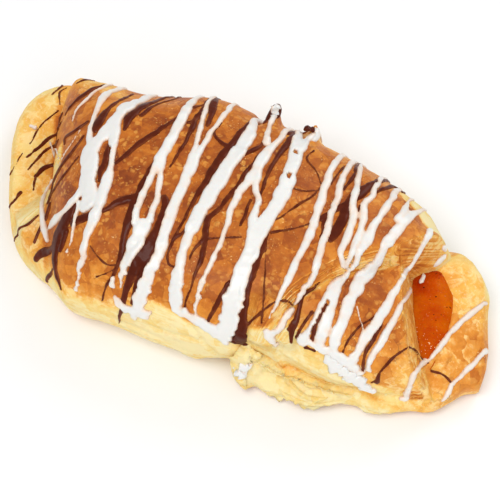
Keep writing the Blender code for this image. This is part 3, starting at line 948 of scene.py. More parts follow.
def layered_edge(sheaf, face, spacing, reach, bake, seed, limits):
    """Sheets that stand a little out of a cut face, one below the other, between two limits along Y."""
    inside_reach = (face.top[:, 1] > limits[0]) & (face.top[:, 1] < limits[1])
    count = int(np.max(face.depth) / spacing)
    for number in range(count):
        down = (number + 0.35) * spacing
        share = down / np.maximum(face.depth, 0.1)
        middle = face.top + (face.foot - face.top) * share[:, None]
        slope = face.foot - face.top
        slope /= np.maximum(np.linalg.norm(slope, axis=1), 0.1)[:, None]
        along = np.gradient(face.top, axis=0)
        along /= np.linalg.norm(along, axis=1)[:, None]
        outward = np.cross(along, slope)
        outward *= np.sign(np.sum(outward * face.out, axis=1))[:, None]
        wave = lumps(middle, 4.5, seed + number)
        rag = rough(middle, 1.3, seed + 50 + number, 3)
        widths = reach * (0.62 + 0.45 * wave + 0.38 * rag) + 0.45
        widths *= 1 - 0.5 * rise(0.7, 1.0, share)
        middle = middle + slope * (0.25 * lumps(middle, 7.0, seed + 90 + number))[:, None] - outward * 0.45
        keep = (share < 0.95) & (widths > 0.5) & (wave > -0.55) & (face.depth > 1.2) & inside_reach
        for start, end in runs_of(keep):
            if end - start > 6:
                part = slice(start, end)
                steps = np.arange(end - start)
                taper = np.minimum(1, np.minimum(steps, steps[::-1]) / 4 + 0.1)
                tone = bake + 0.10 * lumps(middle[part], 6.0, seed + 30 + number) + 0.06 * (-1) ** number
                sheaf.leaf(middle[part], outward[part], -slope[part], widths[part] * taper, 0.26,
                           0.10 * wave[start], bake=tone, cut=0.25, crumb=0.5, level=down)


def front_spots(tree, xs, zs):
    """Points of the front side at places along the pastry and heights, and their outward directions."""
    spots = []
    outs = []
    for x, z in zip(xs, zs):
        found, normal, _, _ = tree.ray_cast(Vector((x, -CLEAR, z)), INWARD)
        if found is None:
            found, normal = Vector((x, spots[-1][1] if spots else FRONT_SIDE, z)), -INWARD
        spots.append(tuple(found))
        outs.append(tuple(normal))
    return evened_path(np.array(spots), 3), np.array(outs)


def torn_skins(sheaf, tree):
    """Ragged skins of pale dough on the torn front side, reaching down, or up where reach is negative."""
    for number, (line, reach, lift, tone) in enumerate(TORN_SKINS):
        places, heights = zip(*line)
        xs = np.arange(places[0], places[-1], 0.35)
        share = (xs - places[0]) / (places[-1] - places[0])
        zs = np.interp(xs, places, heights)
        seeds = np.column_stack([xs, np.zeros(len(xs)), zs])
        zs = zs + 0.35 * rough(seeds, 4.0, 300 + number, 2)
        base, out = front_spots(tree, xs, np.maximum(zs, 0.8))
        along = np.gradient(base, axis=0)
        along /= np.linalg.norm(along, axis=1)[:, None]
        down = np.cross(out, along)
        down *= -np.sign(down[:, 2])[:, None]
        ragged = 0.75 + 0.6 * rough(seeds, 1.5, 320 + number, 3) + 0.35 * lumps(seeds, 5.0, 340 + number)
        widths = np.maximum(abs(reach) * ragged, 0.15) * np.minimum(1, 6 * np.minimum(share, 1 - share) + 0.1)
        if reach > 0:
            widths = np.minimum(widths, np.maximum(base[:, 2] - 0.3, 0.1))
        sheaf.leaf(base + out * 0.05, down * np.sign(reach), out, widths, 0.35, lift,
                   bake=tone + 0.05 * lumps(seeds, 3.0, 360 + number), cut=0.1, crumb=0.9, level=zs)


def ribbon(sheaf, tree, line, thick, tone, seed):
    """A crumpled leaf down the front side, along a line of x, height, half width and lift."""
    steps = np.arange(0, len(line) - 1 + 1e-6, 0.12)
    xs, zs, halves, lifts = [np.interp(steps, np.arange(len(line)), column) for column in zip(*line)]
    seeds = np.column_stack([xs, zs, np.full(len(xs), float(seed))])
    left = halves * (1 + 0.45 * rough(seeds, 1.6, seed, 3))
    right = halves * (1 + 0.45 * rough(seeds, 1.6, seed + 1, 3))
    rings = []
    for x, z, near, far, lift in zip(xs, zs, left, right, lifts):
        ring = []
        steps_across = (-near, -near / 2, 0, far / 2, far)
        skin = [(1, step) for step in steps_across] + [(-1, step) for step in steps_across[::-1]]
        for side, across in skin:
            found, out, _, _ = tree.ray_cast(Vector((x + across, -CLEAR, max(z, 0.6))), INWARD)
            if found is None:
                found, out = Vector((x + across, FRONT_SIDE, max(z, 0.6))), -INWARD
            bulge = 0.5 * (1 - (across / max(near, far)) ** 2)
            edge = 0.25 if abs(across) in (near, far) else 1.0
            ring.append(tuple(found + out * (lift + bulge + side * thick / 2 * edge)))
        rings.append(ring)
    sheaf.add([np.array(ring) for ring in rings], bake=tone, cut=0.1, crumb=0.8, level=0.0)


def make_layers(dough, look):
    """The sheets at the cut edges, the torn skins and the leaves of the tab, as one piece."""
    tree = tree_of(dough.data)
    sheaf = Sheaf()
    faces = cut_faces(tree)
    layered_edge(sheaf, faces["ridge cut"], 0.75, 0.55, 0.52, 401, (-25, 3))
    layered_edge(sheaf, faces["edge cut"], 0.80, 0.35, 0.44, 451, (-24, 7))
    layered_edge(sheaf, faces["start cut"], 0.90, 0.30, 0.34, 501, (-17, 10))
    torn_skins(sheaf, tree)
    for line, thick, tone, seed in TAB_LEAVES:
        ribbon(sheaf, tree, line, thick, tone, seed)
    return sheaf.piece("flaky_layers", look)


# ---------------------------------------------------------------- drizzle
# Strands of icing as they were drizzled: each is a few points (x, y, width) in mm, seen from above,
# from the back edge of the pastry to the front.
WHITE_STRANDS = [
    # left shoulder
    [(-55, 32.5, 0.9), (-55.5, 28.5, 1.1), (-57, 25, 1.4), (-58, 20.5, 1.4), (-59, 17, 0.8),
     (-58.5, 12.5, 0.4)],
    [(-54, 9.5, 0.4), (-55.5, 4.5, 0.4), (-57, 0.5, 0.6)],
    [(-51.5, 33.5, 1.5), (-52, 29.5, 2.0), (-53, 24, 2.7), (-52.5, 18, 2.3), (-51.5, 12.5, 1.8),
     (-49.8, 7.5, 2.0), (-48.5, 4.5, 2.6)],
    [(-62, 3, 0.8), (-61, -3.5, 1.4), (-57.5, -11.5, 1.9), (-54, -16.5, 2.2), (-51.5, -19.5, 1.4)],
    # broad sweep with a slit, which ends in three legs
    [(-42, 32.5, 2.4), (-42.5, 28.5, 3.4), (-43.5, 22.5, 4.2), (-45, 16.5, 4.5), (-45, 10.5, 4.4),
     (-46.5, 6, 4.4), (-47.5, 2, 5.8), (-45, -2.5, 5.8), (-43.5, -7.5, 5.8), (-41.5, -11, 6.1),
     (-42, -13.5, 3.3)],
    [(-45, 15, 3.3), (-43, 9, 3.3), (-41, 4, 2.2), (-39.5, -1, 2.2), (-38.5, -6.5, 3.6), (-38, -11.5, 3.6)],
    [(-46.5, 11.5, 0.8), (-47.5, 6, 1.1)],
    [(-44.5, -8, 2.8), (-46.5, -12.5, 3.1), (-49, -15, 3.1), (-52, -15.5, 3.1), (-53, -16, 1.1)],
    [(-44, -12.5, 1.7), (-43, -18, 1.1), (-42.5, -22, 0.8), (-42.5, -24.5, 0.4)],
    [(-38, -12.5, 2.8), (-37.5, -16, 3.3), (-38, -21, 2.5), (-37.5, -25.5, 2.2), (-37.5, -28.5, 1.4)],
    [(-37, -29, 1.7), (-37, -31.5, 1.4)],
    # a strand that parts and joins again
    [(-27, 35, 1.6), (-27.5, 33.5, 1.9), (-28, 27, 3.1), (-27.5, 16, 3.3), (-27.5, 6.5, 3.6), (-27, 3, 3.3)],
    [(-27.5, 2.5, 2.5), (-27.5, -4, 1.9), (-27.5, -10, 2.2), (-26.5, -14.5, 2.5)],
    [(-26, 3, 2.2), (-24.5, -2, 1.9), (-23.5, -7, 1.9), (-23, -12.5, 2.5)],
    [(-24, -15, 5.0), (-24, -19, 5.0), (-24.5, -23.5, 3.6), (-25, -27, 2.2), (-24.5, -29.5, 0.8)],
    # forked strand
    [(-23.5, 35, 1.1), (-24, 31, 1.4), (-22.5, 23, 1.7), (-21, 16, 1.7), (-20, 10.5, 2.2)],
    [(-17, 35, 1.3), (-17.5, 33.5, 1.7), (-18, 24, 1.9), (-18.5, 17, 1.9), (-18.5, 10.5, 2.5)],
    [(-19, 9.5, 3.9), (-18.5, 2.5, 3.6), (-18.5, -4.5, 3.6), (-18, -12, 3.1), (-17, -19, 3.6),
     (-17.5, -24.5, 3.9), (-18, -28.5, 4.2), (-18.5, -31.5, 3.9), (-19.5, -33, 2.8)],
    # broad straight strand
    [(-9, 34.5, 2.0), (-9.5, 30.5, 2.5), (-8.5, 20, 3.9), (-9.5, 8, 4.4), (-10.5, -2.5, 4.4),
     (-11, -9.5, 3.6), (-11, -17.5, 3.3), (-10.5, -21, 3.3), (-9.5, -26, 4.2), (-8, -29.5, 3.9),
     (-6, -31, 1.4)],
    [(-6, -30.6, 2.4), (-3, -31.1, 2.7), (0, -31.3, 3.2), (3.5, -31.3, 3.7), (6.5, -30.9, 3.8)],
    [(-25.5, -31.5, 1.2), (-23, -32.5, 2.4), (-19.5, -32.5, 3.6), (-16.5, -32.5, 3.0), (-14.5, -32, 1.4)],
    [(-26.8, -28.4, 1.1), (-26.8, -29.8, 1.4)],
    # thin one that starts as two and parts into two
    [(-4.5, 35, 1.3), (-5, 31.5, 1.7), (-4, 26, 1.7), (-3, 21.5, 2.5)],
    [(0.5, 33, 1.8), (0, 29, 2.2), (-0.5, 22.5, 2.5), (-1.5, 17, 3.6), (-1.5, 12, 3.3), (0.5, 5.5, 2.2),
     (2.5, 1.5, 1.9), (3.5, -5, 2.8)],
    [(-1.5, 10.5, 2.8), (-3, 4, 2.5), (-3.5, -2.5, 1.9), (-2.5, -9.5, 1.7), (-2.5, -18, 1.5),
     (-3, -25.5, 1.4), (-2.5, -30, 1.0)],
    # the broadest strand
    [(3, 35, 1.6), (2.5, 32.5, 1.9), (5, 24.5, 4.4), (6.5, 17, 4.4), (7.5, 9.5, 4.7), (7.5, 2.5, 4.4),
     (6.5, -3, 5.0), (6, -7.5, 5.6), (6, -14, 5.0), (6, -19, 4.7), (6.5, -24, 5.6), (6.5, -28, 6.4),
     (6, -30.5, 5.6), (6.5, -31.5, 3.3)],
    [(8.5, 35, 1.6), (8, 32.5, 1.9), (6.5, 28.5, 2.2), (6.5, 23.5, 2.5)],
    # thin strands across the right half
    [(17, 33.5, 1.5), (16.5, 29.5, 1.9), (16.5, 19.5, 2.3), (17, 13, 2.5), (18, 5, 2.6), (18.5, -4, 2.5),
     (18, -13, 2.2), (17.5, -20.5, 1.6), (16.5, -25.5, 1.0)],
    [(20.5, 31, 1.5), (20, 27, 1.9), (20.5, 16.5, 2.2), (21.5, 12, 2.3), (22, 4, 2.3), (23, -5.5, 2.2),
     (23.5, -11.5, 2.1), (22, -15.5, 2.1), (21, -19, 1.2)],
    [(20.8, -20.5, 1.7), (19.8, -23, 2.5), (18.8, -26, 2.5), (18, -28, 3.0)],
    [(16.6, -28, 1.5), (18, -28.5, 2.6), (19.6, -28.6, 1.4)],
    [(23, 32.5, 1.3), (22.5, 28.5, 1.6), (24.5, 18.5, 2.0), (26, 11.5, 2.2), (27.5, 7.5, 2.6),
     (28, 0.5, 2.2), (28, -4, 1.9), (30, -6, 1.4)],
    [(30, 31.5, 1.3), (29.5, 27.5, 1.7), (29.5, 17.5, 1.9), (29, 12.5, 2.2), (30.5, 7, 2.5),
     (30.5, 0.5, 2.2), (30.5, -4.5, 1.7), (30.5, -6, 1.1)],
    [(35, 29.5, 1.3), (34.5, 25.5, 1.7), (34.5, 15, 2.2), (33.5, 7.5, 2.5), (33, 2.5, 3.1),
     (32.5, -1.5, 2.2), (32, -4.5, 1.7), (31.5, -6, 0.8)],
    # forked strand over the step of the fold
    [(39, 25.5, 0.9), (38.5, 21.5, 1.1), (39, 16, 2.2), (38.5, 12, 2.5)],
    [(43, 25, 1.1), (42.5, 21, 1.4), (40.5, 13.5, 3.1), (39, 6, 3.3), (37, -0.5, 3.6), (35, -4, 4.4),
     (34.5, -9.5, 3.9), (34.5, -16, 3.3), (34.5, -21.5, 3.3), (34.5, -25, 3.6)],
    [(31, -6.5, 2.2), (29.5, -9.5, 3.6), (29, -13.5, 4.2), (28, -17.5, 2.2), (27.5, -22.5, 2.2),
     (26.5, -26, 2.8)],
    [(30, -13.5, 3.1), (30.5, -18.5, 3.1), (30.5, -23, 3.3), (31, -26, 3.3)],
    # down the short flap
    [(44.8, 2, 1.9), (44.6, 0, 2.0), (44, -6, 2.3), (43.5, -10.5, 2.8), (42, -17.5, 3.1), (41, -23.5, 2.8),
     (40, -26, 3.4)],
    [(47, 2.5, 1.7), (47, -9, 1.9), (46, -16, 2.2), (45, -22, 2.2), (44.5, -25.5, 1.7)],
    [(36.5, -13.5, 0.4), (39, -16.5, 0.4), (40.5, -19, 0.4)],
    # the run along the front edge
    [(26, -25.8, 1.4), (29.5, -26, 1.8), (33, -26, 2.4), (36.5, -26.3, 3.4), (40, -26.5, 3.6),
     (43, -26.6, 2.4)],
    # on the sheets at the two ends
    [(67, 10.5, 1.4), (64, 5, 1.9), (61, -2.5, 1.7), (59, -9.5, 1.7), (57.5, -14, 1.1)],
    [(57, -14, 1.9), (56, -22.5, 1.7), (54.5, -24, 1.9), (54.5, -24, 1.1)],
    [(71.5, -2.5, 1.9), (69, -9, 1.7), (66.5, -14.5, 1.4), (65.5, -18, 1.7), (64.5, -20, 0.8)],
    # on the two lumps of icing at the back edge, and on the tab in front
    [(-5, 30.5, 1.2), (-4.7, 32.5, 1.4)],
    [(-75.5, 17, 1.1), (-74, 17, 1.4)],
    [(-68, 14.5, 0.8), (-62, 8, 0.8), (-58, 3, 0.6)],
]
DARK_STRANDS = [
    # back left corner
    [(-56, 29.5, 1.1), (-58, 26.5, 1.9), (-60, 22.5, 1.9), (-62.5, 19, 1.1)],
    [(-62.5, 19.5, 1.1), (-63, 17.5, 0.8)],
    [(-60.5, 32, 0.7), (-63, 31, 0.9), (-65, 29, 0.7)],
    [(-73.5, 34, 0.8), (-73, 33, 0.8), (-74, 29, 0.8)],
    [(-70.5, 32.5, 0.6), (-72, 30, 0.8), (-70.5, 26.5, 0.6)],
    [(-47, 29.5, 0.9), (-47.5, 25.5, 1.1), (-49, 18.5, 1.4), (-49.5, 14.5, 3.1), (-49.5, 11, 3.1),
     (-49, 9, 1.1)],
    [(-53, 12.5, 1.1), (-55.5, 9.5, 1.4), (-58.5, 8.5, 1.1), (-58, 6.5, 1.1)],
    [(-52, 7.5, 0.8), (-53.5, 2.5, 1.7), (-56.5, -1.5, 1.9), (-58, -5, 1.7), (-57, -8.5, 1.1)],
    [(-50.5, 1, 0.7), (-52.5, -3, 1.0), (-55, -5.5, 1.1), (-57.5, -6, 0.8)],
    [(-56, -9, 1.7), (-55.5, -11.5, 1.7), (-55, -13.5, 1.1)],
    [(-43, 5.5, 0.8), (-42, 0.5, 2.4), (-41, -6, 0.9)],
    # curved group between the first two white strands
    [(-36, 35, 0.9), (-36.5, 32.5, 1.1), (-38, 29, 1.7), (-40, 22, 2.5), (-41.5, 16, 2.5), (-41, 11.5, 1.1)],
    [(-33.5, 34, 0.7), (-34, 30, 0.8), (-37, 24, 1.1), (-39, 18, 1.7)],
    [(-24, 34, 0.9), (-24.5, 30, 1.1), (-24, 25, 1.1), (-24, 21.5, 1.7), (-23.5, 14.5, 1.4), (-24, 4, 0.8)],
    [(-24, 33, 0.7), (-24.5, 29, 0.8), (-26.5, 26, 1.1)],
    [(-23, 26.5, 0.9), (-23.5, 22.5, 1.1), (-25.5, 20, 1.1)],
    [(-22.5, 35, 1.3), (-23, 34, 1.7), (-23.5, 33.5, 2.2), (-21.5, 27, 2.2), (-20.5, 21, 1.4)],
    [(-28.5, 25, 0.9), (-29, 21, 1.1), (-32, 14, 1.7), (-35, 8.5, 1.9), (-37.5, 3, 1.7), (-38.5, 0.5, 1.1)],
    # strong diagonal and its link to the left
    [(-28, 13.5, 1.4), (-28, 5, 2.8), (-28.5, -2.5, 3.1), (-28.5, -9.5, 3.3), (-28, -16.5, 2.5),
     (-27, -23, 1.7), (-27, -27.5, 1.1), (-28.5, -30.5, 0.8), (-29, -32.5, 0.8)],
    [(-29, -7.5, 2.2), (-33, -10.5, 2.5), (-36, -13.5, 1.9), (-40, -16, 2.5), (-43.5, -17.5, 3.1)],
    [(-44, -9.5, 1.1), (-45.5, -13, 3.1), (-46.5, -17, 4.7), (-47.5, -20.5, 5.0), (-47.5, -22.5, 4.2)],
    [(-47, -23, 3.9), (-45.5, -27, 2.8), (-43.5, -30, 2.5), (-42, -32, 0.8)],
    [(-45, -20, 2.5), (-45, -24, 1.9)],
    [(-48, -22.5, 2.2), (-51.5, -22.5, 2.8), (-53.5, -24, 2.2)],
    [(-46, -27.5, 0.8), (-47.5, -28, 1.7), (-48.5, -28.5, 1.1)],
    [(-36, -23, 0.6), (-33, -25, 0.6), (-30, -26, 0.6), (-27, -25.5, 0.6)],
    [(-31.5, -29, 0.6), (-29.5, -28, 0.6), (-27.5, -26.5, 0.6)],
    [(-22, -5, 1.9), (-20.5, -7.5, 2.5), (-20, -12, 2.2), (-20, -17, 3.1), (-20.5, -20.5, 4.4),
     (-21.5, -22.5, 5.6)],
    [(-22, -23, 3.6), (-22.5, -26.5, 2.5), (-23, -30, 2.2), (-23, -32.5, 1.9), (-24, -33.5, 0.8)],
    [(-19, -22.5, 2.5), (-19, -26, 2.8), (-19.5, -29, 2.5), (-20.5, -31.5, 1.4)],
    # long diagonal with a loop at its foot
    [(-9.5, 32.5, 1.1), (-10, 28.5, 1.4), (-11, 20.5, 2.2), (-12, 13.5, 3.1), (-13, 7, 2.8),
     (-13.5, 0.5, 1.7), (-14, -7, 1.1), (-14.5, -14.5, 1.1), (-14.5, -19.5, 0.8), (-13.5, -22, 0.8),
     (-11, -22.5, 0.7)],
    [(-17, 23.5, 0.7), (-17.5, 19.5, 0.8), (-15, 17, 1.4), (-12, 16, 1.4)],
    [(-3.5, 24.5, 0.9), (-4, 20.5, 1.1), (-5, 18, 1.7), (-6.5, 15, 1.1)],
    [(-3, 18, 0.8), (-4, 10.5, 1.4), (-5, 2, 1.7), (-7, -5, 1.4), (-8, -8, 2.2), (-6.5, -13, 1.9),
     (-5.5, -19, 1.4), (-5.5, -24.5, 1.1), (-5.5, -30.5, 0.8)],
    [(-11.5, -10, 1.4), (-13, -13, 1.1), (-14.5, -16, 1.1)],
    [(-7, -13.5, 1.4), (-8.5, -18, 1.1), (-8.5, -19.5, 0.6)],
    [(-6, -13, 0.6), (-2.5, -11.5, 0.6), (2, -9.5, 0.6)],
    [(4, -21.5, 1.1), (3, -24.5, 1.7), (2, -28.5, 1.4), (1, -31, 1.1)],
    # behind and beside the broadest white strand
    [(3, 33, 1.8), (2.5, 29, 2.2), (2, 20.5, 1.7), (1.5, 12.5, 1.4), (2, 6, 1.1), (2.5, 3, 0.8)],
    [(0.5, 28, 1.7), (2.5, 31.5, 2.2), (4.5, 33, 2.2)],
    [(-6.5, 29.5, 1.2), (-6.5, 31, 1.4)],
    [(0.5, 1.5, 1.1), (0.5, -3, 1.1), (1, -6.5, 0.8)],
    [(8.5, -2, 0.7), (12.5, 4.5, 0.8), (15, 9.5, 0.8), (15.5, 13, 0.7)],
    [(9, -5.5, 0.8), (13.5, -2.5, 0.8), (17, 0.5, 0.7), (20.5, 5.5, 1.7)],
    [(10, 9.5, 0.6), (12.5, 10, 0.6), (15.5, 12, 0.6)],
    [(9.5, 25, 0.4), (9, 21, 0.6), (12.5, 18, 0.6), (15.5, 14.5, 0.6)],
    [(8.5, -6.5, 1.4), (8.5, -12, 2.2), (8.5, -18.5, 2.2), (9, -23, 2.2), (9.5, -27, 2.8),
     (9.8, -29.4, 3.8)],
    [(9.5, -10.5, 0.6), (13, -20.5, 0.6), (15, -27, 0.6)],
    [(11.5, -28, 0.7), (15, -24, 0.8), (18.5, -20.5, 0.8), (21, -19.5, 0.7)],
    # broad group on the right
    [(36, 29, 0.7), (35.5, 25, 0.8), (33, 25.5, 1.1), (31.5, 21.5, 1.4), (30, 18, 1.1)],
    [(30.5, 30.5, 1.1), (30, 26.5, 1.4), (28, 20, 2.5), (26.5, 15.5, 3.6), (25, 11.5, 2.8), (25, 5, 3.3),
     (24.5, -1.5, 1.9)],
    [(24.5, 11, 1.7), (22, 7.5, 1.9), (21, 4.5, 1.9), (21.5, -1.5, 1.1)],
    [(28, 11.5, 1.1), (28, 6.5, 0.8)],
    [(22, 33.5, 0.7), (21.5, 29.5, 0.8), (22.5, 20.5, 1.1), (22, 15, 0.8)],
    [(19, 23.5, 0.7), (18.5, 19.5, 0.8), (18, 15.5, 0.6)],
    # short ends below the step of the fold
    [(25.5, -12, 0.8), (22.5, -16.5, 1.4), (22.5, -20, 1.4), (22, -25, 0.8)],
    [(22.5, -18, 1.1), (23, -22, 1.4), (23, -25, 1.7), (23.5, -27, 1.1)],
    [(26, -19.5, 1.1), (25, -23, 1.1), (24.5, -26, 0.8)],
    [(29, -16.5, 1.1), (28.5, -20.5, 1.1), (28.5, -25.5, 1.4)],
    [(42, -13.5, 0.8), (39, -18, 0.8), (37.5, -22.5, 0.8), (37, -25.5, 0.8)],
    [(43.5, -14.5, 1.4), (43.5, -19.5, 1.7), (43, -23.5, 1.1), (43.5, -26.5, 1.4)],
    [(48, -26, 1.4), (48, -25, 0.8), (49, -22, 0.8), (51.5, -19, 0.7), (54.5, -15, 0.7), (58, -14, 0.8)],
    [(59.5, -15, 0.7), (62.5, -14.5, 0.8), (65.5, -15.5, 0.8), (66, -18.5, 0.8)],
    [(46.5, -26.5, 0.6), (47.5, -26, 0.7)],
    [(27.5, -27, 1.1), (30, -27, 0.8)],
    # on the sheet at the left end
    [(-70, 24.5, 0.6), (-72.5, 18.5, 0.7), (-73, 11.5, 0.6)],
    [(-65.5, 19.5, 1.1), (-69, 15.5, 1.1), (-72, 7, 0.7)],
    [(-64, 16, 0.9), (-68, 12, 1.0), (-70, 3.5, 0.7)],
    [(-62, 10, 1.4), (-66, 6.5, 1.7), (-67, 2.5, 1.4)],
    [(-66.5, 1.5, 1.1), (-65.5, -2, 0.8)],
    [(-73.5, 7.5, 0.6), (-74, 2.5, 0.6), (-74.5, 0.5, 0.6)],
    [(-68.5, -4.5, 1.1), (-69, -7.5, 1.1), (-70.5, -9, 0.8)],
    [(-58, -12.5, 0.8), (-60.5, -16, 1.1), (-64.5, -17.5, 0.8)],
    [(-56, -15, 1.1), (-56, -20, 1.1)],
]
# Strands that lie on steep dough or stand off its edge: points (x, y, height, width) and how ragged they are
WHITE_BEADS = [
    ([(46.9, 15.8, 29.4, 1.2), (47.2, 12.6, 31.7, 2.5), (46.7, 10.8, 30.1, 1.9), (46.2, 9.5, 28.2, 1.8),
      (45.8, 8.0, 26.5, 1.6), (45.3, 6.6, 24.7, 1.5), (44.9, 5.0, 24.0, 1.9), (44.6, 2.5, 25.6, 2.1),
      (44.5, 0.0, 26.6, 2.1)], 0.5),
    ([(50.2, 12.6, 16.4, 1.0), (51.1, 14.2, 17.1, 2.2), (51.9, 15.9, 17.6, 2.1), (52.3, 16.9, 17.8, 1.2)],
      0.2),
    ([(52.0, 17.0, 19.2, 1.0), (51.5, 16.6, 21.4, 1.8), (51.0, 16.3, 22.6, 1.0)], 0.6),
    ([(48.4, 10.4, 15.0, 1.2), (48.6, 9.0, 14.9, 1.2), (48.2, 7.2, 14.8, 1.4)], 0.2),
    ([(-5.5, 35.2, 34.6, 2.4), (-5.1, 34.3, 34.6, 3.3), (-4.9, 33.1, 34.1, 2.6), (-4.7, 31.4, 33.2, 1.5)],
      0.15),
    ([(7.0, 33.7, 32.0, 1.3), (7.9, 33.0, 30.9, 2.3), (8.2, 31.7, 30.7, 2.3), (7.5, 29.4, 31.6, 1.8)], 0.15),
    ([(33.0, -26.6, 23.2, 1.6), (36.6, -27.9, 20.8, 4.4), (39.6, -28, 19.2, 5.0), (43.2, -27.6, 15.9, 4.2),
      (46.2, -27.2, 12.6, 3.2), (47.9, -27, 10.6, 1.4)], 1.0),
    ([(9.6, -33.1, 10.8, 1.2), (10.4, -33.3, 11.6, 2.6), (11.6, -33.4, 12.0, 3.2), (12.8, -33.3, 12.3, 3.0),
      (13.8, -32.8, 12.6, 2.4), (14.8, -32.2, 13.0, 1.0)], 0.6),
    ([(9.0, -33.6, 9.2, 1.0), (10.3, -34.1, 9.8, 2.8), (11.6, -34.5, 9.8, 3.6), (12.9, -34.4, 9.8, 3.4),
      (14.0, -33.6, 10.8, 1.8)], 0.6),
]
DARK_BEADS = [
    ([(-6.8, 30.4, 32.2, 1.6), (-6.6, 33.0, 32.9, 2.6), (-5.9, 35.0, 33.4, 3.0), (-4.5, 35.5, 33.4, 3.0),
      (-3.7, 34.1, 33.0, 2.6), (-3.7, 32.2, 32.4, 1.8)], 0.15),
    ([(4.2, 31.4, 32.2, 1.6), (5.5, 32.4, 32.5, 2.4), (7.0, 33.5, 32.5, 2.0)], 0.2),
    ([(10.2, -29.4, 24.6, 3.2), (10.5, -29.9, 22.6, 3.8), (10.3, -30.2, 20.8, 4.6),
      (10.2, -30.4, 19.6, 3.4)], 0.7),
    ([(7.4, -31.2, 20.2, 1.4), (9.0, -30.6, 20.0, 1.9), (10.8, -30.1, 19.3, 1.9), (12.3, -30.0, 19.2, 1.2)],
      0.9),
]
# Places where the white icing is parted down to what is under it: a line of points (x, y), and its reach
PARTINGS = [([(-42.5, 3.8), (-41.8, -1), (-41, -5.8)], 0.85), ([(5.5, 21.7), (5.6, 21.2)], 0.6),
            ([(7, 12.8), (7, 12.2)], 0.6), ([(29.3, -15.5), (28.8, -18.5), (28.4, -21.5), (28.1, -24.5)],
            0.38)]
CELL = 0.34
AXIS_DEPTH = 25.0            # the drape's rays fan out from a line this far below the floor
FAN = 0.92                   # half of the fan's spread, in radians
FAN_REACH = 100              # how far out along the fan the rays start
FAN_STEP = CELL / 60.0
LEFT_END = -81.0
COLUMNS = 454
ROWS = int(2 * FAN / FAN_STEP) + 1
THINNEST = 0.27              # the least half width of a strand
LOWEST = 2.0                 # no strand lies lower than this above the floor
OUTSIDE = -9.0               # the depth of what is clear of every strand
SUNK = 0.25                  # how far a strand's underside lies in the dough, away from its edge
EDGE_SUNK = 0.06
BEAD_SUNK = 0.4


def laid(strand, tree, seed):
    """A strand's centre line on the surface, with its half width: rows of x, y, z, radius."""
    path = smooth_path(strand, 0.35)
    flat = np.column_stack([path[:, 0], path[:, 1], np.full(len(path), float(seed))])
    path[:, 0] += 0.36 * lumps(flat, 3.2, 101)
    width = 0.96 * path[:, 2] * (1 + 0.20 * lumps(flat, 2.2, 103) + 0.12 * lumps(flat, 5.0, 107))
    rows = []
    for (x, y, _), across in zip(path, width):
        found = tree.ray_cast(Vector((x, y, CLEAR)), DOWN)[0]
        if found is not None and found.z > LOWEST:
            row = np.array((x, y, found.z, max(across / 2, THINNEST)))
            drop = np.linalg.norm(row[:3] - rows[-1][:3]) if rows else 0
            if 0.5 < drop < 9:
                between = np.arange(0.4, drop, 0.4) / drop
                rows += list(rows[-1] + between[:, None] * (row - rows[-1]))
            rows.append(row)
    return np.array(rows)


def window(row, reach):
    """The part of the drape's grid that lies within reach of a laid point."""
    middle = (row[0] - LEFT_END) / CELL
    around = (np.arctan2(row[1], row[2] + AXIS_DEPTH) + FAN) / FAN_STEP
    wide = int(reach / CELL) + 2
    tall = int(reach / (np.hypot(row[1], row[2] + AXIS_DEPTH) * FAN_STEP)) + 2
    return (slice(max(0, int(middle) - wide), min(COLUMNS, int(middle) + wide + 1)),
            slice(max(0, int(around) - tall), min(ROWS, int(around) + tall + 1)))


def drape(lines, tree):
    """Points of the surface, and its outward directions, on the grid around the laid lines."""
    near = np.zeros((COLUMNS, ROWS), bool)
    for line in lines:
        for row in line[::2]:
            near[window(row, row[3] + 1.4)] = True
    far = np.full((COLUMNS, ROWS), np.nan)
    angles = np.arange(ROWS) * FAN_STEP - FAN
    for column, ray in zip(*np.nonzero(near)):
        angle = angles[ray]
        out = Vector((0, np.sin(angle), np.cos(angle)))
        start = Vector((LEFT_END + column * CELL, 0, -AXIS_DEPTH)) + out * FAN_REACH
        found = tree.ray_cast(start, -out)
        if found[0] is not None:
            far[column, ray] = FAN_REACH - found[3]
    for _ in range(3):
        total = np.zeros_like(far)
        count = np.zeros_like(far)
        for shift_x, shift_y in product((-1, 0, 1), repeat=2):
            moved = np.roll(far, (shift_x, shift_y), (0, 1))
            good = ~np.isnan(moved) & ~(np.abs(moved - far) > 3.0)
            total[good] += moved[good]
            count[good] += 1
        far = np.where(np.isnan(far), np.nan, total / np.maximum(count, 1))
    spots = np.empty((COLUMNS, ROWS, 3))
    spots[:, :, 0] = (LEFT_END + np.arange(COLUMNS) * CELL)[:, None]
    spots[:, :, 1] = far * np.sin(angles)
    spots[:, :, 2] = far * np.cos(angles) - AXIS_DEPTH
    across = np.zeros_like(spots)
    upward = np.zeros_like(spots)
    across[1:-1] = spots[2:] - spots[:-2]
    upward[:, 1:-1] = spots[:, 2:] - spots[:, :-2]
    out = np.cross(across, upward)
    size = np.linalg.norm(out, axis=2, keepdims=True)
    plain = np.stack([np.zeros(far.shape), np.tile(np.sin(angles), (COLUMNS, 1)),
                      np.tile(np.cos(angles), (COLUMNS, 1))], axis=2)
    out = np.where((size > 1e-6) & ~np.isnan(size), out / np.maximum(size, 1e-6), plain)
    out[np.sum(out * plain, axis=2) < 0] *= -1
    return spots, out


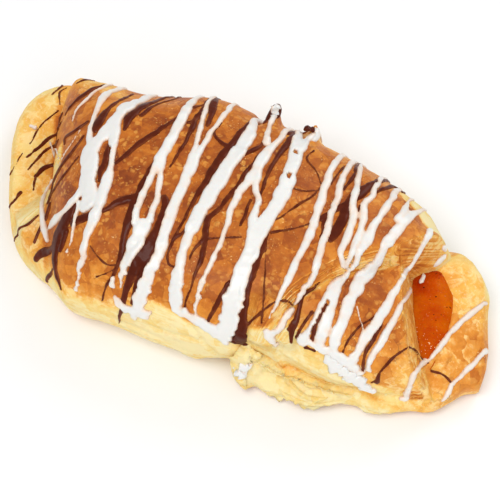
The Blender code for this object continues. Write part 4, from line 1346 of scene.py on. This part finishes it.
def depth_field(lines, spots, melt):
    """How far inside a strand each grid point is (negative outside), and the strand's half width there."""
    inside = np.full((COLUMNS, ROWS), OUTSIDE)
    half_width = np.zeros((COLUMNS, ROWS))
    for line in lines:
        own = np.full((COLUMNS, ROWS), OUTSIDE)
        own_half = np.zeros((COLUMNS, ROWS))
        for row in line:
            part = window(row, row[3] + 1.2)
            depth = row[3] - np.linalg.norm(spots[part] - row[:3], axis=2)
            better = depth > own[part]
            own[part] = np.where(better, depth, own[part])
            own_half[part] = np.where(better, row[3], own_half[part])
        blend = np.clip(0.5 + 0.5 * (own - inside) / melt, 0, 1)
        joined = inside + (own - inside) * blend + melt * blend * (1 - blend)
        both = (own > -5) & (inside > -5)
        inside = np.where(both, joined, np.maximum(own, inside))
        half_width = np.maximum(half_width, own_half)
    return inside, half_width


def marched(inside, spots, out, thickness):
    """A closed skin over the grid points that are inside: a top, an underside and a thin edge between."""
    places = []
    values = []
    numbers = {}
    faces = []

    def add(key, place, value):
        if key not in numbers:
            numbers[key] = len(places)
            places.append(place)
            values.append(value)
        return numbers[key]

    live = (inside > 0) & ~np.isnan(spots[:, :, 2])
    cells = live[:-1, :-1] | live[1:, :-1] | live[:-1, 1:] | live[1:, 1:]
    known = ~np.isnan(spots[:, :, 2])
    cells &= known[:-1, :-1] & known[1:, :-1] & known[:-1, 1:] & known[1:, 1:]
    for column, row in zip(*np.nonzero(cells)):
        ring = ((column, row), (column + 1, row), (column + 1, row + 1), (column, row + 1))
        top = []
        under = []
        for here, there in zip(ring, ring[1:] + ring[:1]):
            if live[here]:
                top.append(add((here, "top"), spots[here] + out[here] * thickness[here], thickness[here]))
                under.append(add((here, "under"), spots[here] - out[here] * SUNK, thickness[here]))
            if live[here] != live[there]:
                share = inside[here] / (inside[here] - inside[there])
                share = min(max(share, 0.08), 0.92)
                edge = spots[here] + (spots[there] - spots[here]) * share - out[here] * EDGE_SUNK
                number = add((min(here, there), max(here, there)), edge, 0.0)
                top.append(number)
                under.append(number)
        faces.append(top)
        if under != top:
            faces.append(under[::-1])
    return places, faces, values


def bead(line, ragged, tree, seed):
    """A strand as rings around its own line, for steep dough: its rings of points, and their thickness."""
    path = smooth_path(line, 0.10)
    keep = np.concatenate([[True], np.linalg.norm(np.diff(path[:, :3], axis=0), axis=1) > 0.02])
    path = path[keep]
    seeds = np.column_stack([path[:, :2], np.full(len(path), 7.0 * seed)])
    spots = []
    outs = []
    for row in path:
        found, out, _, gap = tree.find_nearest(Vector(row[:3]))
        spots.append(tuple(found) if gap < 1.2 else tuple(row[:3]))
        outs.append(tuple(out))
    spots = evened_path(np.array(spots), 4)
    outs = evened_path(np.array(outs), 8)
    outs /= np.linalg.norm(outs, axis=1)[:, None]
    side = np.cross(np.gradient(evened_path(path[:, :3].copy(), 8), axis=0), outs)
    side /= np.maximum(np.linalg.norm(side, axis=1), 1e-6)[:, None]
    walked = np.concatenate([[0], np.cumsum(np.linalg.norm(np.diff(spots, axis=0), axis=1))])
    left = walked[-1] - walked
    ends = np.sqrt(np.clip(np.minimum(walked, left) / 0.8, 0.03, 1))
    half = 0.5 * path[:, 3] * ends
    near = half * (1 + 0.12 * lumps(seeds, 2.2, 103) + ragged * rough(seeds, 0.9, 231 + seed, 3))
    far = half * (1 + 0.12 * lumps(seeds, 2.2, 107) + ragged * rough(seeds, 0.9, 241 + seed, 3))
    full = 0.55 * np.minimum(half, 1.3) + 0.2 * ends
    shares = np.linspace(-1, 1, 9)
    crown = np.sqrt(1 - shares ** 2)
    rings = []
    for spot, out, across, low, high, tall in zip(spots, outs, side, near, far, full):
        tops = []
        feet = []
        for share, swelling in zip(shares, crown):
            place = spot + across * (share * (high if share > 0 else low))
            found, _, _, gap = tree.find_nearest(Vector(place))
            if gap < 0.8:
                place = 0.5 * (place + np.array(found))
            tops.append(place + out * tall * swelling)
            feet.append(place - out * BEAD_SUNK)
        rings.append((tops + feet[-2:0:-1], list(0.3 + 1.2 * tall * crown) + [0.8] * 7))
    return rings


def add_beads(beads, tree, places, faces, values):
    """Adds each bead to the skin's places, faces and thicknesses, as a closed tube through its rings."""
    for number, (line, ragged) in enumerate(beads):
        rings = bead(line, ragged, tree, number)
        first = len(places)
        around = len(rings[0][0])
        for points, thick in rings:
            places += points
            values += thick
        for here in range(len(rings) - 1):
            near = first + here * around
            far = near + around
            for side in range(around):
                after = (side + 1) % around
                faces.append([near + side, far + side, far + after, near + after])
        faces.append(list(range(first, first + around)))
        faces.append(list(range(len(places) - 1, len(places) - 1 - around, -1)))


def make_drizzle(name, strands, beads, tree, look, fullness, melt, fray, breaks=()):
    """Strands that melt together where they meet, laid over the pastry, with the beads on its steep sides."""
    lines = [laid(strand, tree, number) for number, strand in enumerate(strands)]
    lines = [line for line in lines if len(line) > 3]
    spots, out = drape(lines, tree)
    inside, half_width = depth_field(lines, spots, melt)
    flat = np.nan_to_num(spots.reshape(-1, 3))
    wander = lumps(flat, 1.3, 211).reshape(inside.shape)
    frayed = rise(21, 26, -flat[:, 1]) * rough(flat, 1.7, 217, 3)
    inside += (0.14 * wander + fray * frayed.reshape(inside.shape)) * (inside > -3)
    for line, reach in breaks:
        gap = (reach - np.abs(beside(flat, line)) + 0.35 * lumps(flat, 0.9, 223)).reshape(inside.shape)
        inside = np.where(gap > 0, np.minimum(inside, -gap - 0.05), inside)
    full = fullness * (0.42 + 0.28 * np.clip(half_width, 0, 2.6))
    share = np.clip(inside / np.clip(half_width, 0.35, 1.25), 0, 1)
    thickness = full * np.sqrt(np.clip(1 - (1 - share) ** 2, 0, 1)) * (1 + 0.12 * wander)
    places, faces, values = marched(inside, spots, out, thickness)
    add_beads(beads, tree, places, faces, values)
    mesh = mesh_within(name, places, faces)
    mesh.validate()
    mesh.update()
    keep_value(mesh, "thickness", np.array(values)[:len(mesh.vertices)])
    return riding(mesh, name, look)


# ---------------------------------------------------------------- studio
FLOOR_SIZE = 6.0
FLOOR_COLOUR = (0.94, 0.94, 0.94)
WORLD_LIGHT = 0.50
# Soft lamps: name, watts, size in metres and place in metres
LAMPS = [("key lamp", 4.2, 0.5, (-0.15, -0.35, 0.88)), ("fill lamp", 2.0, 0.6, (0.6, -0.5, 0.5)),
         ("back lamp", 2.1, 0.5, (0.2, 0.7, 0.6))]

# The camera looks down on the pastry from in front of its right end
VIEW_TURN = radians(22)
VIEW_HEIGHT = radians(60)
VIEW_LENS = 120.0
VIEW_TARGET = Vector((0.0, 0.0, 0.015))
VIEW_WIDTH = 5 / 36          # metres across the view, at the pastry
SENSOR_WIDTH = 36.0
VIEW_SHIFT = (0.006, -0.006)


def floor_finish():
    """A matt, pale floor with a trace of unevenness."""
    finish = Finish("pale floor")
    speck = finish.noise(60.0, 2.0, 0.5)
    shade = finish.blend(speck, tuple(tone * 0.985 for tone in FLOOR_COLOUR), FLOOR_COLOUR)
    finish.look(Base_Color=shade, Roughness=0.9)
    return finish.material


def make_studio():
    """A pale floor, an even white sky and three soft lamps."""
    bpy.ops.mesh.primitive_plane_add(size=FLOOR_SIZE)
    floor = bpy.context.active_object
    floor.name = "floor"
    floor.data.materials.append(floor_finish())
    world = bpy.data.worlds.new("soft light")
    bpy.context.scene.world = world
    world.use_nodes = True
    sky = world.node_tree.nodes["Background"]
    sky.inputs["Color"].default_value = (1.0, 1.0, 1.0, 1.0)
    sky.inputs["Strength"].default_value = WORLD_LIGHT
    for name, watts, size, place in LAMPS:
        lamp = bpy.data.lights.new(name, "AREA")
        lamp.energy = watts
        lamp.size = size
        thing = bpy.data.objects.new(name, lamp)
        thing.location = place
        thing.rotation_euler = (VIEW_TARGET - Vector(place)).to_track_quat("-Z", "Y").to_euler()
        bpy.context.scene.collection.objects.link(thing)


def make_camera():
    """The camera, turned to the view that the pastry is shown from."""
    away = Vector((sin(VIEW_TURN) * cos(VIEW_HEIGHT), -cos(VIEW_TURN) * cos(VIEW_HEIGHT), sin(VIEW_HEIGHT)))
    camera = bpy.data.cameras.new("camera")
    camera.lens = VIEW_LENS
    camera.sensor_width = SENSOR_WIDTH
    camera.clip_start = 0.02
    camera.shift_x, camera.shift_y = VIEW_SHIFT
    distance = VIEW_WIDTH * VIEW_LENS / SENSOR_WIDTH
    thing = bpy.data.objects.new("camera", camera)
    thing.location = VIEW_TARGET + away * distance
    thing.rotation_euler = (-away).to_track_quat("-Z", "Y").to_euler()
    bpy.context.scene.collection.objects.link(thing)
    bpy.context.scene.camera = thing


crust = crust_finish()
dough = make_dough(crust)
filling = make_filling()
layers = make_layers(dough, crust)
under_chocolate = tree_of(dough.data, filling.data, layers.data)
chocolate = make_drizzle("chocolate_drizzle", DARK_STRANDS, DARK_BEADS, under_chocolate, chocolate_finish(),
                         fullness=0.75, melt=0.35, fray=0.1)
under_icing = tree_of(dough.data, filling.data, layers.data, chocolate.data)
icing = make_drizzle("icing_drizzle", WHITE_STRANDS, WHITE_BEADS, under_icing, icing_finish(),
                     fullness=0.85, melt=0.5, fray=1.1, breaks=PARTINGS)
make_studio()
make_camera()
bpy.context.scene.view_settings.view_transform = "Standard"
